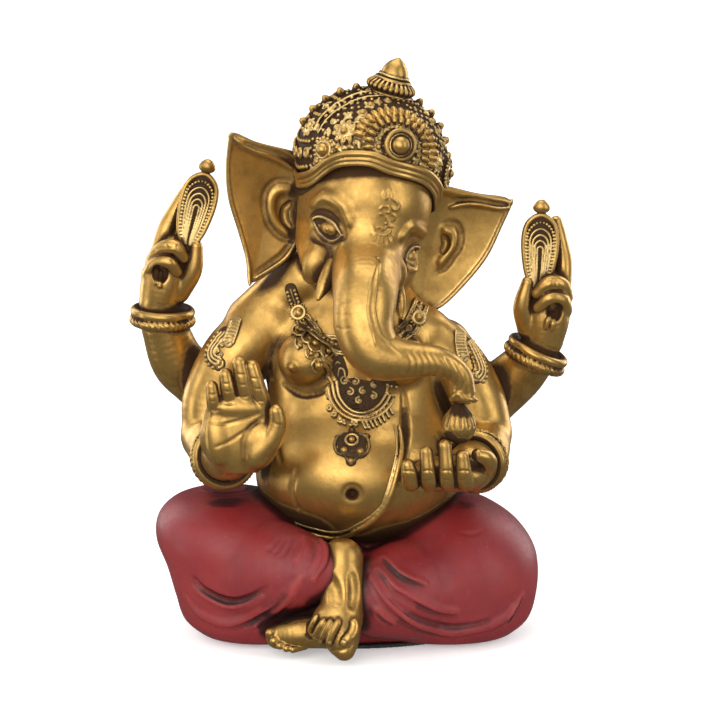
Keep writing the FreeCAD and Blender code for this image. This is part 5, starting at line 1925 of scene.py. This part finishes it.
def red_paint(name):
    """Oxblood paint, satin, with stray specks of gold; dark in the folds (partly a dark wash, partly painted
    shade) and paler along their ridges as a painted highlight.
    """
    material, n, where = start_material(name)
    large = n.noise(where, 60.0, 5.0)
    fine = n.noise(where, 700.0, 4.0)
    speck = n.noise(where, 1500.0, 2.0, 0.5)
    # painted shade, partly a dark wash, deep in the folds and where other pieces close in
    hollow = n.plus(n.attribute("hollow"), n.swing(fine, 0.3))
    wash_and_shade = n.ramp(n.plus(hollow, n.attribute("valley")), 0.14, 0.85)
    # painted highlight: the ridges of the folds are made lighter
    edge = n.ramp(n.plus(n.attribute("edge"), n.swing(fine, 0.2)), 0.06, 0.4)
    tone = n.mix(n.ramp(large, 0.3, 0.7), (0.195, 0.014, 0.015), (0.150, 0.011, 0.013))
    tone = n.mix(n.times(edge, 0.5), tone, (0.29, 0.040, 0.032))
    tone = n.mix(n.times(n.ramp(speck, 0.72, 0.76), 0.7), tone, (0.32, 0.15, 0.06))
    # painted shade and dark wash: the folds darken to near black
    tone = n.mix(n.times(wash_and_shade, 0.92), tone, (0.020, 0.004, 0.004))
    brushed = n.bump(n.plus(n.times(fine, 0.6), n.times(speck, 0.25)), 0.22, PIT_DEPTH)
    n.surface(Base_Color=tone, Roughness=n.ramp(fine, 0.3, 0.7, 0.40, 0.52), Normal=brushed,
              Specular_IOR_Level=0.4)
    return material


def felt_cloth(name):
    """Dark felt: short crossed fibres with no shine."""
    material, n, where = start_material(name)
    fibres = n.noise(where, 2200.0, 5.0, 0.75)
    clumps = n.noise(where, 300.0, 3.0)
    tone = n.mix(n.ramp(fibres, 0.3, 0.7), (0.012, 0.010, 0.009), (0.040, 0.034, 0.030))
    tone = n.mix(n.times(n.ramp(clumps, 0.4, 0.7), 0.4), tone, (0.055, 0.048, 0.042))
    n.surface(Base_Color=tone, Roughness=0.95, Normal=n.bump(fibres, 0.7, FIBRE_DEPTH))
    return material


def plain_floor(name):
    """Near white, and lit a little from within, more so away from the figure."""
    material, n, where = start_material(name)
    tone = n.mix(n.noise(where, 6.0), (0.86, 0.86, 0.86), (0.88, 0.88, 0.88))
    spot = n.add("ShaderNodeSeparateXYZ", Vector=where)
    gap = n.math("SQRT", n.plus(n.math("POWER", spot.outputs[0], 2.0), n.math("POWER", spot.outputs[1], 2.0)))
    glow = n.ramp(gap, 0.10, 0.75, 0.34, 0.92)
    n.surface(Base_Color=tone, Roughness=0.7, Emission_Color=(1.0, 1.0, 1.0, 1.0), Emission_Strength=glow)
    return material


# ---- the studio ------------------------------------------------------------------------------------
def row(x, y, z):
    """Working millimetres as row-frame metres."""
    return Vector(tuple((np.array([x, y, z]) + ORIGIN) * MM))


SENSOR_WIDTH, FOCAL_LENGTH = 36.0, 129.7
SIGHT_END = 20.0             # metres
# each lamp: its place and what it points at, its width and height in metres, its watts and its colour
LAMPS = {
    "key": ((-270, -490, 460), (0, 0, 100), (0.70, 0.70), 2.5, (1.0, 0.98, 0.95)),
    "front": ((-140, -880, 240), (0, 0, 100), (0.9, 0.7), 3.1, (1.0, 0.98, 0.96)),
    "fill": ((480, -300, 260), (0, 0, 90), (0.25, 0.55), 1.0, (1, 1, 1)),
    "top": ((20, 20, 640), (0, 0, 100), (0.6, 0.4), 1.8, (1, 1, 1)),
    "side": ((-560, -60, 160), (0, 0, 90), (0.15, 0.6), 0.8, (1, 1, 1)),
    "back_left": ((-420, 320, 260), (0, 0, 100), (0.25, 0.5), 1.2, (1, 1, 1)),
    "back_right": ((420, 340, 260), (0, 0, 100), (0.25, 0.5), 1.2, (1, 1, 1)),
}
ROOM_COLOUR, ROOM_STRENGTH = (0.80, 0.82, 0.85, 1), 0.16
# the sweep, in metres: how far it is flat, how far it goes, how high its rim is, and its gap under the figure
FLOOR_FLAT, FLOOR_REACH, FLOOR_CLIMB, FLOOR_GAP = 1.6, 3.0, 1.6, 0.0001


def add_camera():
    camera = bpy.data.cameras.new("camera")
    camera.sensor_width = SENSOR_WIDTH
    camera.lens = FOCAL_LENGTH
    camera.clip_end = SIGHT_END
    holder = bpy.data.objects.new("camera", camera)
    holder.location = row(*VIEWER)
    holder.rotation_euler = (math.radians(90 - VIEW_RISE), 0, 0)
    bpy.context.scene.collection.objects.link(holder)
    bpy.context.scene.camera = holder


def add_light(name, place, aim, size, watts, colour):
    light = bpy.data.lights.new(name, "AREA")
    light.shape = "RECTANGLE"
    light.size, light.size_y = size
    light.energy = watts
    light.color = colour
    holder = bpy.data.objects.new(name, light)
    holder.location = row(*place)
    holder.rotation_euler = (row(*aim) - holder.location).to_track_quat("-Z", "Y").to_euler()
    bpy.context.scene.collection.objects.link(holder)


def add_studio():
    bpy.context.scene.view_settings.view_transform = "Standard"
    world = bpy.data.worlds.new("studio")
    world.use_nodes = True
    background = world.node_tree.nodes["Background"]
    background.inputs["Color"].default_value = ROOM_COLOUR
    background.inputs["Strength"].default_value = ROOM_STRENGTH
    bpy.context.scene.world = world
    for name, lamp in LAMPS.items():
        add_light(name, *lamp)


def add_floor():
    """A pale sweep: flat under the figure, curving up far behind it on every side."""
    verts, faces = [], []
    rings, around = 40, 96
    for i in range(rings + 1):
        radius = FLOOR_REACH * (i / rings)
        climb = max(radius - FLOOR_FLAT, 0.0) / (FLOOR_REACH - FLOOR_FLAT)
        height = FLOOR_CLIMB * climb ** 2 - FLOOR_GAP
        for j in range(around):
            a = 2 * math.pi * j / around
            verts.append((radius * math.cos(a), radius * math.sin(a), height))
    for i in range(rings):
        for j in range(around):
            k = (j + 1) % around
            faces.append((i * around + j, (i + 1) * around + j, (i + 1) * around + k, i * around + k))
    mesh = bpy.data.meshes.new("floor")
    mesh.from_pydata(verts, [], faces)
    for polygon in mesh.polygons:
        polygon.use_smooth = True
    floor = bpy.data.objects.new("floor", mesh)
    floor.visible_glossy = False         # the figure mirrors the lamps and a dark room, not the white sweep
    floor.data.materials.append(plain_floor("floor"))
    bpy.context.scene.collection.objects.link(floor)


# ---- assembly --------------------------------------------------------------------------------------
def sculpting_size(name):
    """About how many samples a casting's grid holds."""
    low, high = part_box(name)
    return np.prod(np.subtract(high, low)) / RECIPES[name].step ** 3


def build_figure():
    materials = {
        GOLD: gold("gold_body", base=(0.62, 0.37, 0.105), pale=(0.90, 0.69, 0.32), deep=(0.034, 0.014, 0.005),
                   rough=0.35, pits=0.25, wash_and_shade_from=0.16, wash_and_shade_to=0.75, edges=0.45),
        ORNAMENT: gold("gold_ornament", base=(0.58, 0.355, 0.105), pale=(0.92, 0.71, 0.34),
                       deep=(0.030, 0.013, 0.005), rough=0.34, pits=0.16, wash_and_shade_from=0.14, wash_and_shade_to=0.52,
                       edges=0.38),
        RED: red_paint("red_dhoti"),
        FELT: felt_cloth("felt"),
    }
    largest_first = sorted(RECIPES, key=sculpting_size, reverse=True)
    with ThreadPoolExecutor(4) as pool:
        grids = dict(zip(largest_first, pool.map(sculpt, largest_first)))
        meshes = dict(zip(largest_first, pool.map(lambda name: grids[name].mesh(), largest_first)))
        layers = dict(zip(largest_first,
                          pool.map(lambda name: wear_and_shade(name, grids, meshes[name][0]), largest_first)))
    for name in sorted(RECIPES):
        verts, quads = meshes[name]
        piece = make_mesh("cast_" + name, verts, quads, layers[name])
        piece.data.materials.append(materials[RECIPES[name].slot])
        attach(piece, "root")
        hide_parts(name)


add_camera()
build_figure()
add_floor()
add_studio()
